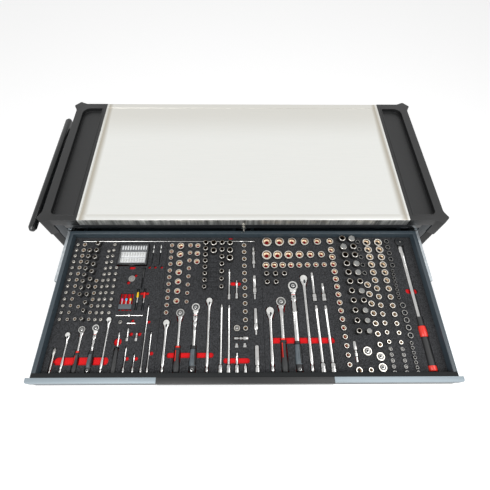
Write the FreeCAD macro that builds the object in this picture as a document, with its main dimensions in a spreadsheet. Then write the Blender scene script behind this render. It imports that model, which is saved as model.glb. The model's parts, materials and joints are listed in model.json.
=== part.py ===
import FreeCAD, Part
import math
import os
import re

import Sketcher

# Rolling tool cabinet, in millimetres: X to the right, Y to the back, Z up, the floor at Z = 0.
# The top drawer stands fully open at rest, and every lower drawer is closed.
# Places are written from the middle of the worktop's front edge. The datum shift at the end of
# the sheet then brings the origin to the middle of the whole object's footprint.

doc = FreeCAD.newDocument("RollingToolCabinet")
sheet = doc.addObject("Spreadsheet::Sheet", "dim")
vec = FreeCAD.Vector
aliases = []
places = {}
nodes = []

DRIVING = [
    ("overall_height", 1050, "floor to the worktop rim"),
    ("worktop_width", 1280, "stainless worktop, left to right"),
    ("worktop_depth", 656, "stainless worktop, front to back"),
    ("apron_height", 35, "stainless front and back edge"),
    ("stainless", 1.5, "worktop sheet"),
    ("rim_width", 25, "raised rim along the front and back"),
    ("side_lip", 8, "raised lip along each end"),
    ("field_drop", 3, "worktop field below its rim"),
    ("end_cap_width", 139, "moulded end cap, from the worktop out"),
    ("cap_overhang", 2, "end cap in front of the worktop edge"),
    ("ear_reach", 14, "corner ear beyond the straight sides"),
    ("ear_run", 40, "from the ear's flare to the corner of the straight sides"),
    ("ear_nose", 9, "ear's slanted nose, on each side of the corner"),
    ("ear_flat", 5, "short flat at each tip of an ear"),
    ("ear_round", 6, "rounded tips of the ears"),
    ("groove_width", 2.4, "grooves down the corner posts"),
    ("groove_pitch", 5.4, "grooves down the corner posts"),
    ("ear_flare", 22, "rounded start of the ears"),
    ("skirt_height", 85, "outer skirt of the end cap"),
    ("moulding", 3, "wall of the end caps"),
    ("recess_depth", 15, "tray in the end cap"),
    ("recess_width", 87, "tray, left to right"),
    ("recess_inner", 18, "tray to the worktop"),
    ("recess_front", 27, "tray to the cap's front edge"),
    ("recess_back", 34, "tray to the cap's back edge"),
    ("recess_round_front", 18, "outer front corner of the tray"),
    ("recess_round_back", 34, "outer back corner of the tray"),
    ("bead_width", 4, "raised bead round the tray"),
    ("bead_height", 2, "raised bead round the tray"),
    ("base_height", 55, "front wall of the base pan"),
    ("steel", 2, "cabinet sheet"),
    ("column_face", 40, "front column between opening and corner post"),
    ("post_width", 36, "corner post, left to right"),
    ("post_depth", 44, "corner post, front to back"),
    ("post_step", 3, "corner post inside the cap's skirt"),
    ("panel_inset", 15, "side panel inside the cap's straight edge"),
    ("rear_inset", 16, "back panel inside the worktop's back edge"),
    ("lock_band_height", 25, "rail with the lock, under the apron"),
    ("band_gap", 4, "lock rail to the top drawer's rim"),
    ("divider_half", 15, "half the thickness of the centre divider"),
    ("cross_rail_height", 28, "rail between the top drawer and the banks"),
    ("cross_rail_depth", 30, "rail between the top drawer and the banks"),
    ("drawer_gap", 4, "between two drawer fronts"),
    ("front_gap", 1, "closed front to the frame"),
    ("front_thick", 14, "drawer front"),
    ("front_clear", 2, "drawer front to the side of its bay"),
    ("drawer_sheet", 1.2, "drawer box"),
    ("box_depth", 545, "drawer box, front to back"),
    ("wall_fold", 14, "folded rim of the drawer box"),
    ("top_front_height", 75, "top drawer front"),
    ("upper_front_height", 150, "first drawer of each bank"),
    ("middle_front_height", 225, "second drawer of each bank"),
    ("top_box_height", 60, "top drawer box"),
    ("bank_rim_drop", 21, "bank box rim below its front's top"),
    ("bank_box_loss", 45, "bank box lower than its front"),
    ("travel", 554, "full extension of every drawer"),
    ("pull_depth", 17, "aluminium pull, front to back"),
    ("pull_height", 28, "aluminium pull's lip"),
    ("pull_metal", 2.5, "aluminium pull"),
    ("pull_hook", 2.5, "inward hook under the pull's lip"),
    ("pull_round", 8, "corner of the pull in plan"),
    ("finger_web", 4, "drawer front behind the finger gap"),
    ("grip_half", 285, "half the black grip of the top drawer"),
    ("bank_grip_half", 140, "half the black grip of a bank drawer"),
    ("grip_proud", 3, "grip in front of the pull"),
    ("grip_cap", 2, "grip over the pull"),
    ("slide_thick", 17, "ball bearing slide, all members"),
    ("slide_half", 22.5, "half height of a slide"),
    ("slide_metal", 1.5, "slide members"),
    ("slide_play", 0.5, "ball race gap between two members"),
    ("slide_length", 550, "cabinet and drawer members"),
    ("middle_inset", 56, "middle member behind the front when closed"),
    ("middle_length", 434, "middle member"),
    ("slide_rise", 32, "slide's centre above the box bottom"),
    ("foam_drop", 27, "foam surface below the rim"),
    ("foam_black", 8, "black upper foam"),
    ("pocket_deep", 16, "tool pockets, through the black foam into the red"),
    ("torque_deep", 20, "pocket of the torque wrench"),
    ("foam_side_gap", 1, "foam to the drawer wall"),
    ("pocket_play", 1.5, "foam pocket round a tool"),
    ("pocket_sides_gap", 1, "case pocket round the bit case"),
    ("tool_axis_rise", 12, "ratchets' middle over the pocket's floor"),
    ("head_low", 9, "ratchet head below its middle"),
    ("head_high", 8, "ratchet head above its middle"),
    ("torque_x", 624, "torque wrench from the middle"),
    ("torque_head_y", 506, "torque wrench head behind the cabinet's front"),
    ("torque_rise", 15, "torque wrench's middle over its pocket's floor"),
    ("torque_head", 20, "torque wrench head"),
    ("torque_neck", 60, "torque wrench neck"),
    ("case_x", -430, "middle of the bit case"),
    ("case_half", 58, "half the bit case's width"),
    ("case_front", 410, "bit case behind the cabinet's front"),
    ("case_depth", 88, "bit case"),
    ("case_proud", 8, "bit case above the foam"),
    ("catch_half", 12, "half the bit case's catch"),
    ("catch_depth", 6, "bit case's catch"),
    ("long_bar_left", -641, "long bar at the back of the drawer"),
    ("long_bar_right", 45, "long bar at the back of the drawer"),
    ("long_bar_y", 514, "long bar behind the cabinet's front"),
    ("long_bar_radius", 3, "long bar"),
    ("neck_run", 2.6, "ratchet neck's length in head radii"),
    ("neck_wide", 0.62, "ratchet neck's half width in head radii"),
    ("neck_half", 4, "ratchet neck's half thickness"),
    ("handle_radius", 16, "push handle tube"),
    ("handle_wall", 2, "push handle tube"),
    ("handle_length", 648, "push handle with its round ends"),
    ("handle_out", 78, "handle centre beyond the cap's straight edge"),
    ("handle_down", 88, "handle centre below the worktop"),
    ("bracket_in", 80, "handle bracket from each end of the tube"),
    ("bracket_width", 34, "handle bracket arm"),
    ("bracket_thick", 14, "handle bracket arm"),
    ("bracket_plate", 5, "handle bracket foot"),
    ("foot_ear", 8, "handle bracket foot beside its arm"),
    ("foot_drop", 52, "handle bracket foot below the tube's middle"),
    ("gusset_thick", 8, "web under the handle bracket"),
    ("handle_bolt", 4, "radius of the handle's bolts"),
    ("lock_radius", 8, "lock barrel"),
    ("bezel_radius", 9, "lock bezel"),
    ("bezel_proud", 8, "lock bezel in front of the rail"),
    ("cylinder_radius", 6, "turning cylinder"),
    ("turning_play", 0.05, "running clearance of turned pieces"),
    ("lock_depth", 24, "lock barrel"),
    ("key_width", 20, "key bow"),
    ("key_reach", 24, "key bow in front of the rail"),
    ("key_thick", 2.4, "key"),
    ("key_neck", 9, "key bow's start in front of the rail"),
    ("key_blade", 4, "half height of the key's blade"),
    ("key_bevel", 4, "cut corners of the key's bow"),
    ("lock_rod_radius", 4, "rod from the lock to the lever"),
    ("lock_rod_gap", 3, "rod and lever in front of the locking bar"),
    ("lever_reach", 7, "lever from the rod to its pin"),
    ("lever_pin", 2.5, "radius of the lever's pin"),
    ("lever_play", 0.5, "lever's pin in the slot of the locking bar"),
    ("lever_thick", 5, "lever"),
    ("slot_wall", 2, "locking bar above its slot"),
    ("lock_bar_gap", 38, "locking bar behind the drawer boxes"),
    ("bar_half", 10, "half the width of the locking bar"),
    ("bar_shoulder", 5, "locking bar's shoulder on its upper guide"),
    ("bar_thick", 3, "locking bar"),
    ("bar_play", 0.4, "locking bar in its guides"),
    ("guide_side", 6, "guide beside the locking bar"),
    ("guide_height", 20, "guide of the locking bar"),
    ("hanger_half", 9, "half the width of the lock rod's hanger"),
    ("hanger_y", 300, "hanger of the lock rod"),
    ("hanger_thick", 6, "hanger of the lock rod"),
    ("wheel_radius", 62.5, "caster wheel"),
    ("wheel_width", 36, "caster wheel tread"),
    ("tyre_shoulder", 5, "slope from the wheel's tread to its sides"),
    ("wheel_side", 4, "wheel's side to the fork's leg"),
    ("crown_gap", 18.8, "wheel's top to the fork's crown"),
    ("hub_radius", 14, "end of the wheel's hub"),
    ("axle_radius", 6, "caster axle"),
    ("fork_metal", 4, "caster fork"),
    ("crown_front", 24, "fork's crown in front of the swivel axis"),
    ("crown_back", 34, "fork's crown behind the swivel axis"),
    ("leg_half", 15, "half the fork leg's width at the axle"),
    ("leg_tip", 9, "half the fork leg's width at its tip"),
    ("leg_drop", 13, "fork leg below the axle"),
    ("hub_gap", 0.4, "wheel hub to the fork's leg"),
    ("plate_length", 116, "caster plate along X"),
    ("plate_width", 90, "caster plate along Y"),
    ("plate_thick", 5, "caster plate"),
    ("plate_bolt_x", 88, "caster bolts apart along X"),
    ("plate_bolt_y", 62, "caster bolts apart along Y"),
    ("bolt_radius", 7, "caster bolt heads"),
    ("race_radius", 33, "swivel race"),
    ("race_height", 12, "swivel race"),
    ("swivel_trail", 38, "axle beside the swivel axis"),
    ("caster_in", 93, "caster plates in from the side frames"),
    ("caster_y", 110, "caster plates in from front and back"),
]

WORKED_OUT = [
    ("worktop_half", "worktop_width / 2"),
    ("cap_out", "worktop_half + end_cap_width"),
    ("panel_out", "cap_out - panel_inset"),
    ("base_clear", "wheel_radius * 2 + crown_gap + fork_metal + turning_play * 4 + race_height + plate_thick"),
    ("fork_half", "wheel_width / 2 + wheel_side"),
    ("under_apron", "overall_height - apron_height"),
    ("skirt_low", "overall_height - skirt_height"),
    ("top_rim", "under_apron - lock_band_height - band_gap"),
    ("lock_height", "under_apron - lock_band_height / 2"),
    ("post_in", "cap_out - post_width"),
    ("bay_half", "post_in - column_face"),
    ("caster_x", "bay_half - caster_in"),
    ("top_box_half", "bay_half - slide_thick"),
    ("frame_back", "worktop_depth - rear_inset"),
    ("base_top", "base_clear + base_height"),
    ("box_back", "box_depth - front_gap"),
    ("lock_bar_back", "box_back + lock_bar_gap"),
    ("cup_low", "overall_height - recess_depth - moulding"),
    ("upper_top", "top_rim - top_front_height - drawer_gap"),
    ("middle_top", "upper_top - upper_front_height - drawer_gap"),
    ("lower_top", "middle_top - middle_front_height - drawer_gap"),
    ("lower_front_height", "lower_top - base_top - drawer_gap"),
    ("cross_rail_top", "upper_top - bank_rim_drop + drawer_gap + cross_rail_height"),
    ("foam_level", "top_rim - foam_drop"),
    ("red_level", "foam_level - foam_black"),
    ("pocket_floor", "foam_level - pocket_deep"),
    ("lever_side", "lever_reach * 0.70711"),
    ("bar_travel", "lever_side * 2"),
    ("handle_x", "cap_out + handle_out"),
    ("handle_z", "overall_height - handle_down"),
    ("handle_y", "worktop_depth / 2"),
    ("handle_half", "handle_length / 2"),
    ("drawer_front_y", "front_gap + pull_depth"),
    ("shift_x", "(handle_x + handle_radius - cap_out - ear_reach) / 2"),
    ("shift_y", "(travel + drawer_front_y + grip_proud - worktop_depth - ear_reach) / 2"),
]


def fill_sheet():
    """Writes the driving sizes as plain numbers and the worked out ones as formulas."""
    rows = [(alias, str(number), note) for alias, number, note in DRIVING]
    rows += [(alias, "=" + formula, alias.replace("_", " ")) for alias, formula in WORKED_OUT]
    for row, (alias, content, note) in enumerate(rows, 1):
        sheet.set(f"A{row}", note)
        sheet.set(f"B{row}", content)
        sheet.setAlias(f"B{row}", alias)
        aliases.append(alias)
    doc.recompute()


def ref(text):
    """Turns the sheet's plain names in an expression into references to the sheet."""
    return re.sub(r"[a-z][a-z0-9_]*", lambda word: f"dim.{word[0]}" if word[0] in aliases else word[0], str(text))


def value(text):
    """The number that an expression of sheet names has now."""
    return float(sheet.evalExpression(ref(text)))


def put(obj, x="0", y="0", z="0"):
    """Binds an object's place to three expressions."""
    for axis, text in zip("xyz", (x, y, z)):
        places[obj.Name, axis] = text
        obj.setExpression(f"Placement.Base.{axis}", ref(text))
    return obj


def node(obj, label, x="0", y="0", z="0"):
    """Names a finished sub-part and moves it by the datum shift."""
    obj.Label = label
    own = [places.get((obj.Name, axis), text) for axis, text in zip("xyz", (x, y, z))]
    put(obj, f"{own[0]} + shift_x", f"{own[1]} + shift_y", own[2])
    nodes.append(obj)
    return obj


def block(name, x, y, z):
    """A box between a low and a high expression on each axis."""
    obj = doc.addObject("Part::Box", name)
    for side, (low, high) in zip(("Length", "Width", "Height"), (x, y, z)):
        obj.setExpression(side, ref(f"({high}) - ({low})"))
    return put(obj, x[0], y[0], z[0])


TURN = {
    "x": FreeCAD.Rotation(vec(0, 1, 0), 90),
    "y": FreeCAD.Rotation(vec(1, 0, 0), -90),
    "z": FreeCAD.Rotation(),
}


def rod(name, along, radius, low, high, centre):
    """A round bar along an axis; centre gives its place on the other two axes in order."""
    obj = doc.addObject("Part::Cylinder", name)
    obj.setExpression("Radius", ref(radius))
    obj.setExpression("Height", ref(f"({high}) - ({low})"))
    obj.Placement = FreeCAD.Placement(vec(), TURN[along])
    spots = list(centre)
    spots.insert("xyz".index(along), low)
    return put(obj, *spots)


def prism(name, along, sides, radius, low, high, centre):
    """A bar of regular section along an axis, with its corners at the radius."""
    obj = doc.addObject("Part::Prism", name)
    obj.Polygon = sides
    obj.setExpression("Circumradius", ref(radius))
    obj.setExpression("Height", ref(f"({high}) - ({low})"))
    obj.Placement = FreeCAD.Placement(vec(), TURN[along])
    spots = list(centre)
    spots.insert("xyz".index(along), low)
    return put(obj, *spots)


def wedge(name, low, high, half_low, half_high, half_thick, centre):
    """A flat bar along Y whose half width changes from one end to the other."""
    obj = doc.addObject("Part::Wedge", name)
    sides = {
        "Xmin": f"-({half_low})", "Xmax": half_low, "X2min": f"-({half_high})", "X2max": half_high,
        "Ymin": "0", "Ymax": f"({high}) - ({low})",
        "Zmin": f"-({half_thick})", "Zmax": half_thick, "Z2min": f"-({half_thick})", "Z2max": half_thick,
    }
    for side in ("Xmax", "X2max", "Ymax", "Zmax", "Z2max", "Xmin", "X2min", "Zmin", "Z2min"):
        obj.setExpression(side, ref(sides[side]))
    return put(obj, centre[0], low, centre[1])


def fuse(name, pieces):
    """One solid from several that touch."""
    obj = doc.addObject("Part::MultiFuse", name)
    obj.Shapes = pieces
    obj.Refine = True
    return obj


def cut(name, base, tool):
    """One object less another."""
    obj = doc.addObject("Part::Cut", name)
    obj.Base = base
    obj.Tool = tool
    obj.Refine = True
    return obj


def group(name, pieces):
    """Several separate solids in one object."""
    obj = doc.addObject("Part::Compound", name)
    obj.Links = pieces
    return obj


def copy_of(piece, name, x="0", y="0", z="0"):
    """A further copy of a piece at another place."""
    return put(group(name, [piece]), x, y, z)


def mirrored(piece, name, x="0"):
    """A piece mirrored left to right about an upright plane at x."""
    obj = doc.addObject("Part::Mirroring", name)
    obj.Source = piece
    obj.Normal = vec(1, 0, 0)
    obj.setExpression("Base.x", ref(x))
    return obj


def new_body(name):
    """An empty part design body."""
    return doc.addObject("PartDesign::Body", name)


PLANES = {"x": "YZ_Plane", "y": "XZ_Plane", "z": "XY_Plane"}


def outline(body, name, along, lift, loops):
    """A sketch of closed straight-edged loops, each corner bound to a pair of expressions."""
    sketch = body.newObject("Sketcher::SketchObject", name)
    plane = next(one for one in body.Origin.OriginFeatures if one.Role == PLANES[along])
    sketch.AttachmentSupport = [(plane, "")]
    sketch.MapMode = "FlatFace"
    sketch.setExpression("AttachmentOffset.Base.z", ref(lift))
    for loop in loops:
        first = sketch.GeometryCount
        count = len(loop)
        spots = [vec(value(across), value(up), 0) for across, up in loop]
        for here in range(count):
            sketch.addGeometry(Part.LineSegment(spots[here], spots[(here + 1) % count]), False)
        for here in range(count):
            sketch.addConstraint(
                Sketcher.Constraint("Coincident", first + here, 2, first + (here + 1) % count, 1)
            )
        for here, corner in enumerate(loop):
            for kind, number, text in zip(("DistanceX", "DistanceY"), spots[here], corner):
                index = sketch.addConstraint(Sketcher.Constraint(kind, -1, 1, first + here, 1, number))
                sketch.setExpression(f"Constraints[{index}]", ref(text))
    return sketch


def add(body, name, along, low, high, *loops):
    """Pads loops along an axis from a low to a high expression."""
    lift = f"-({high})" if along == "y" else low
    pad = body.newObject("PartDesign::Pad", name)
    pad.Profile = outline(body, name + "Sketch", along, lift, loops)
    pad.setExpression("Length", ref(f"({high}) - ({low})"))
    return pad


def take(body, name, along, low, high, *loops):
    """Pockets loops along an axis from a low to a high expression."""
    lift = f"-({low})" if along == "y" else high
    pocket = body.newObject("PartDesign::Pocket", name)
    pocket.Profile = outline(body, name + "Sketch", along, lift, loops)
    pocket.setExpression("Length", ref(f"({high}) - ({low})"))
    return pocket


def turned(body, name, plane_axis, axis_role, points):
    """A full revolution of one loop about an axis of the body."""
    spin = body.newObject("PartDesign::Revolution", name)
    spin.Profile = outline(body, name + "Sketch", plane_axis, "0", [points])
    axis = next(one for one in body.Origin.OriginFeatures if one.Role == axis_role)
    spin.ReferenceAxis = (axis, [""])
    spin.Angle = 360
    return spin


def rectangle(x, y):
    """Four corners from a pair of low and high expressions on each axis."""
    return [(x[0], y[0]), (x[1], y[0]), (x[1], y[1]), (x[0], y[1])]


def round_edges(body, name, radius, wanted):
    """Fillets the edges of the body's last feature for which wanted is true."""
    doc.recompute()
    base = body.Tip
    picked = [f"Edge{number}" for number, edge in enumerate(base.Shape.Edges, 1) if wanted(edge)]
    fillet = body.newObject("PartDesign::Fillet", name)
    fillet.Base = (base, picked)
    fillet.setExpression("Radius", ref(radius))
    return fillet


def upright_at(*spots):
    """Tells whether an edge is upright and stands at one of the plan positions."""
    plan = [(value(x), value(y)) for x, y in spots]

    def test(edge):
        low, high = edge.Vertexes[0].Point, edge.Vertexes[-1].Point
        upright = abs(low.x - high.x) < 0.01 and abs(low.y - high.y) < 0.01
        return upright and any(math.hypot(low.x - x, low.y - y) < 0.05 for x, y in plan)

    return test


def rounded_block(name, x, y, z, corners):
    """A box whose upright edges at the given plan corners are rounded, each with its own radius."""
    body = new_body(name)
    add(body, name + "Block", "z", *z, rectangle(x, y))
    for number, (across, along, radius) in enumerate(corners):
        round_edges(body, f"{name}Round{number}", radius, upright_at((across, along)))
    return body


fill_sheet()


# Worktop: a folded stainless sheet over a board

def make_worktop():
    sheet_top = new_body("WorktopSheet")
    width = ("-worktop_half", "worktop_half")
    depth = ("0", "worktop_depth")
    inner_x = ("-worktop_half + stainless", "worktop_half - stainless")
    inner_y = ("stainless", "worktop_depth - stainless")
    add(sheet_top, "SheetBlock", "z", "under_apron", "overall_height", rectangle(width, depth))
    take(sheet_top, "SheetField", "z", "overall_height - field_drop", "overall_height",
         rectangle(("-worktop_half + side_lip", "worktop_half - side_lip"),
                   ("rim_width", "worktop_depth - rim_width")))
    take(sheet_top, "SheetHollow", "z", "under_apron", "overall_height - field_drop - stainless",
         rectangle(inner_x, inner_y))
    take(sheet_top, "SheetRims", "z", "overall_height - field_drop - stainless", "overall_height - stainless",
         rectangle(("-worktop_half + stainless", "worktop_half - stainless"), ("stainless", "rim_width - stainless")),
         rectangle(("-worktop_half + stainless", "worktop_half - stainless"),
                   ("worktop_depth - rim_width + stainless", "worktop_depth - stainless")))
    node(sheet_top, "worktop_sheet")
    board = block("WorktopBoard", inner_x, inner_y,
                  ("under_apron", "overall_height - field_drop - stainless"))
    node(board, "worktop_board")


# End caps: moulded trays with flared ears at the corners

def ear(side, front, back_from, reach, run, nose, wall="0"):
    """One ear's corners, from the front edge round to the side; back_from mirrors it to the back.

    The inside of a hollow ear is drawn with its wall, so that its front edge keeps that far behind the outer one.
    """
    corners = [
        (f"{side} + {wall} - {run}", front),
        (f"{side} + {wall} - {nose} - ear_flat", f"{wall} - {reach}"),
        (f"{side} - {nose}", f"{wall} - {reach}"),
        (f"{side} + {reach}", nose),
        (f"{side} + {reach}", f"{nose} + ear_flat"),
        (side, run),
    ]
    if not back_from:
        return corners
    return [(x, f"{back_from} - ({y})") for x, y in reversed(corners)]


def cap_loop(inset):
    """The right cap's plan, with an ear at each outer corner."""
    side = f"cap_out - {inset}"
    front = f"-cap_overhang + {inset}"
    shape = (side, front)
    size = ("ear_reach", "ear_run", "ear_nose")
    inner = f"worktop_half + {inset}"
    return ([(inner, front)] + ear(*shape, None, *size, inset) + ear(*shape, "worktop_depth", *size, inset)
            + [(inner, f"worktop_depth - ({front})")])


def tray_block(name, grow, z):
    """The tray's rounded outline, grown outwards on every side."""
    x = (f"worktop_half + recess_inner - {grow}", f"worktop_half + recess_inner + recess_width + {grow}")
    y = (f"-cap_overhang + recess_front - {grow}", f"worktop_depth + cap_overhang - recess_back + {grow}")
    corners = [(x[1], y[0], f"recess_round_front + {grow}"), (x[1], y[1], f"recess_round_back + {grow}")]
    return rounded_block(name, x, y, z, corners)


def make_end_caps():
    shell = new_body("CapShell")
    add(shell, "CapBlock", "z", "skirt_low", "overall_height", cap_loop("0"))
    loop = cap_loop("0")
    round_edges(shell, "EarTips", "ear_round", upright_at(*loop[2:6], *loop[8:12]))
    round_edges(shell, "EarFlares", "ear_flare", upright_at(loop[1], loop[6], loop[7], loop[12]))
    take(shell, "CapHollow", "z", "skirt_low", "overall_height - moulding", cap_loop("moulding"))
    take(shell, "SkirtFront", "y", "-ear_reach - cap_overhang - 1", "worktop_depth + ear_reach + cap_overhang + 1",
         rectangle(("worktop_half - 1", "post_in - 2"), ("skirt_low - 1", "under_apron")))
    cup = tray_block("TrayCup", "moulding", ("cup_low", "overall_height"))
    bead = tray_block("TrayBead", "bead_width", ("overall_height - 1", "overall_height + bead_height"))
    hollow = tray_block("TrayHollow", "0", ("overall_height - recess_depth", "overall_height + bead_height + 1"))
    cap = cut("EndCap", fuse("EndCapSolid", [shell, cup, bead]), hollow)
    node(group("EndCapRight", [cap]), "end_cap_right")
    node(mirrored(cap, "EndCapLeft"), "end_cap_left")


# Carcase: folded side frames, panels and rails

def make_carcase():
    frame = new_body("SideFrame")
    add(frame, "FrameFold", "z", "base_clear", "under_apron", [
        ("bay_half", "0"), ("post_in", "0"), ("post_in", "steel"), ("bay_half + steel", "steel"),
        ("bay_half + steel", "frame_back - steel"), ("post_in", "frame_back - steel"),
        ("post_in", "frame_back"), ("bay_half", "frame_back")])
    add(frame, "FrameWeb", "z", "under_apron", "cup_low",
        rectangle(("bay_half", "bay_half + steel"), ("steel", "frame_back - steel")))
    node(group("SideFrameRight", [frame]), "side_frame_right")
    node(mirrored(frame, "SideFrameLeft"), "side_frame_left")

    panel = new_body("SidePanel")
    add(panel, "PanelFold", "z", "base_clear", "skirt_low + moulding", [
        ("post_in", "post_depth"), ("panel_out", "post_depth"),
        ("panel_out", "worktop_depth - post_depth"), ("post_in", "worktop_depth - post_depth"),
        ("post_in", "worktop_depth - post_depth - steel"),
        ("panel_out - steel", "worktop_depth - post_depth - steel"),
        ("panel_out - steel", "post_depth + steel"), ("post_in", "post_depth + steel")])
    node(group("SidePanelRight", [panel]), "side_panel_right")
    holes = [
        rod(f"PanelHole{number}", "x", "handle_bolt", "-panel_out - 1", "-panel_out + steel + 1",
            (f"handle_y {side} (handle_half - bracket_in) {edge} (bracket_width / 2)", "handle_z - (foot_drop - 10)"))
        for number, (side, edge) in enumerate((("-", "-"), ("-", "+"), ("+", "-"), ("+", "+")))]
    node(cut("SidePanelLeftHoled", mirrored(panel, "SidePanelLeft"), fuse("PanelHoles", holes)), "side_panel_left")

    node(block("BackPanel", ("-bay_half", "bay_half"), ("frame_back - steel", "frame_back"),
               ("base_clear + steel", "under_apron - steel")), "back_panel")

    top = new_body("TopFrame")
    add(top, "TopFold", "x", "-bay_half", "bay_half", [
        ("0", "under_apron - lock_band_height"), ("steel", "under_apron - lock_band_height"),
        ("steel", "under_apron - steel"), ("frame_back", "under_apron - steel"),
        ("frame_back", "under_apron"), ("0", "under_apron")])
    hole = rod("LockHole", "y", "lock_radius", "-1", "steel + 1", ("0", "lock_height"))
    node(cut("TopFrameHoled", top, hole), "top_frame")

    rail = new_body("CrossRail")
    low = "cross_rail_top - cross_rail_height"
    add(rail, "CrossFold", "x", "-bay_half", "bay_half", [
        ("0", low), ("cross_rail_depth", low), ("cross_rail_depth", f"{low} + steel"),
        ("steel", f"{low} + steel"), ("steel", "cross_rail_top - steel"),
        ("cross_rail_depth", "cross_rail_top - steel"), ("cross_rail_depth", "cross_rail_top"),
        ("0", "cross_rail_top")])
    node(rail, "cross_rail")

    divider = new_body("CentreDivider")
    end = "box_back + 10"
    add(divider, "DividerFold", "z", "base_clear + steel", low, [
        ("-divider_half", "0"), ("divider_half", "0"), ("divider_half", end),
        ("divider_half - steel", end), ("divider_half - steel", "steel"),
        ("-divider_half + steel", "steel"), ("-divider_half + steel", end), ("-divider_half", end)])
    node(divider, "centre_divider")

    pan = new_body("BasePan")
    add(pan, "PanPlate", "z", "base_clear", "base_clear + steel",
        rectangle(("-bay_half", "bay_half"), ("0", "frame_back")))
    for side, (low_x, high_x) in enumerate((("-bay_half", "-divider_half"), ("divider_half", "bay_half"))):
        add(pan, f"PanFront{side}", "z", "base_clear + steel", "base_top",
            rectangle((low_x, high_x), ("0", "steel")))
        add(pan, f"PanLedge{side}", "z", "base_top - steel", "base_top",
            rectangle((low_x, high_x), ("steel", "cross_rail_depth")))
    node(pan, "base_pan")


# Corner posts: grooved guards that carry the ears' shape down to the base

def make_posts():
    post = new_body("CornerPost")
    side = "cap_out - post_step"
    reach = "(ear_reach - post_step)"
    front, tip = "-post_step / 2", "ear_nose"
    corner = ear(side, front, None, reach, "ear_run", tip)
    nose_mid = (f"{side} + ({reach} - ear_nose) / 2", f"(ear_nose - {reach}) / 2")
    grooves = []
    for step in (-1, 0, 1):
        for along, deep in ((-0.5, 0), (0, 0.5), (0.5, 0)):
            shift = f"(groove_pitch * {step} + groove_width * {along}) * 0.70711"
            sunk = f"groove_width * {deep} * 0.70711"
            grooves.append((f"{nose_mid[0]} + {shift} - {sunk}", f"{nose_mid[1]} + {shift} + {sunk}"))
    add(post, "PostBar", "z", "base_clear", "skirt_low", [
        ("post_in", front), *corner[1:3], *grooves, *corner[3:], (side, "post_depth"), ("post_in", "post_depth")])
    round_edges(post, "PostTips", "ear_round", upright_at(*corner[1:5]))
    front_right = group("PostFrontRight", [post])
    back_right = doc.addObject("Part::Mirroring", "PostBackRight")
    back_right.Source = post
    back_right.Normal = vec(0, 1, 0)
    back_right.setExpression("Base.y", ref("worktop_depth / 2"))
    pieces = [front_right, back_right, mirrored(post, "PostFrontLeft"), mirrored(back_right, "PostBackLeft")]
    node(group("CornerPosts", pieces), "corner_posts")


# Push handle: a round-ended tube on two brackets at the left side

def make_handle():
    tube = new_body("HandleTube")
    outer, inner = "handle_radius", "handle_radius - handle_wall"
    straight = "handle_half - handle_radius"
    dome_y = f"({straight} + {outer} * 0.8)"
    turned(tube, "TubeTurn", "z", "Y_Axis", [
        ("0", f"-({straight})"), ("0", "-handle_half"), (f"{outer} * 0.6", f"-{dome_y}"),
        (outer, f"-({straight})"), (outer, straight), (f"{outer} * 0.6", dome_y),
        ("0", "handle_half"), ("0", straight), (inner, straight), (inner, f"-({straight})")])
    node(tube, "handle_tube", "-handle_x", "handle_y", "handle_z")
    arms, bolts = [], []
    for side, sign in (("Front", "-"), ("Back", "+")):
        mid = f"handle_y {sign} (handle_half - bracket_in)"
        width = (f"{mid} - bracket_width / 2", f"{mid} + bracket_width / 2")
        height = ("handle_z - bracket_thick", "handle_z")
        foot_x = "-panel_out - bracket_plate"
        arm = block(f"Arm{side}", ("-handle_x", "-panel_out"), width, height)
        foot = block(f"Foot{side}", (foot_x, "-panel_out"),
                     (f"{width[0]} - foot_ear", f"{width[1]} + foot_ear"), ("handle_z - foot_drop", "skirt_low - 1"))
        gusset = new_body(f"Gusset{side}")
        add(gusset, f"GussetWeb{side}", "y", f"{mid} - gusset_thick / 2", f"{mid} + gusset_thick / 2", [
            (foot_x, "handle_z - foot_drop"), (foot_x, height[0]), ("-handle_x + 8", height[0])])
        solid = fuse(f"ArmSolid{side}", [arm, foot, gusset])
        seat = rod(f"Seat{side}", "y", "handle_radius", f"{width[0]} - 10", f"{width[1]} + 10",
                   ("-handle_x", "handle_z"))
        holes = [seat]
        for number, (along, up) in enumerate((("-", "foot_drop - 10"), ("+", "foot_drop - 10"))):
            centre = (f"{mid} {along} (bracket_width / 2)", f"handle_z - ({up})")
            holes.append(rod(f"BracketHole{side}{number}", "x", "handle_bolt", f"{foot_x} - 1", "-panel_out + 1",
                             centre))
            head = prism(f"BracketBoltHead{side}{number}", "x", 6, "handle_bolt * 1.8", f"{foot_x} - 4", foot_x, centre)
            shank = rod(f"BracketBoltShank{side}{number}", "x", "handle_bolt", f"{foot_x} - 1",
                        "-panel_out + steel + 8", centre)
            bolts.append(fuse(f"BracketBolt{side}{number}", [head, shank]))
        arms.append(cut(f"Bracket{side}", solid, fuse(f"BracketCuts{side}", holes)))
    node(group("HandleBrackets", arms), "handle_brackets")
    node(group("HandleBolts", bolts), "handle_bolts")


# Drawers

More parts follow.
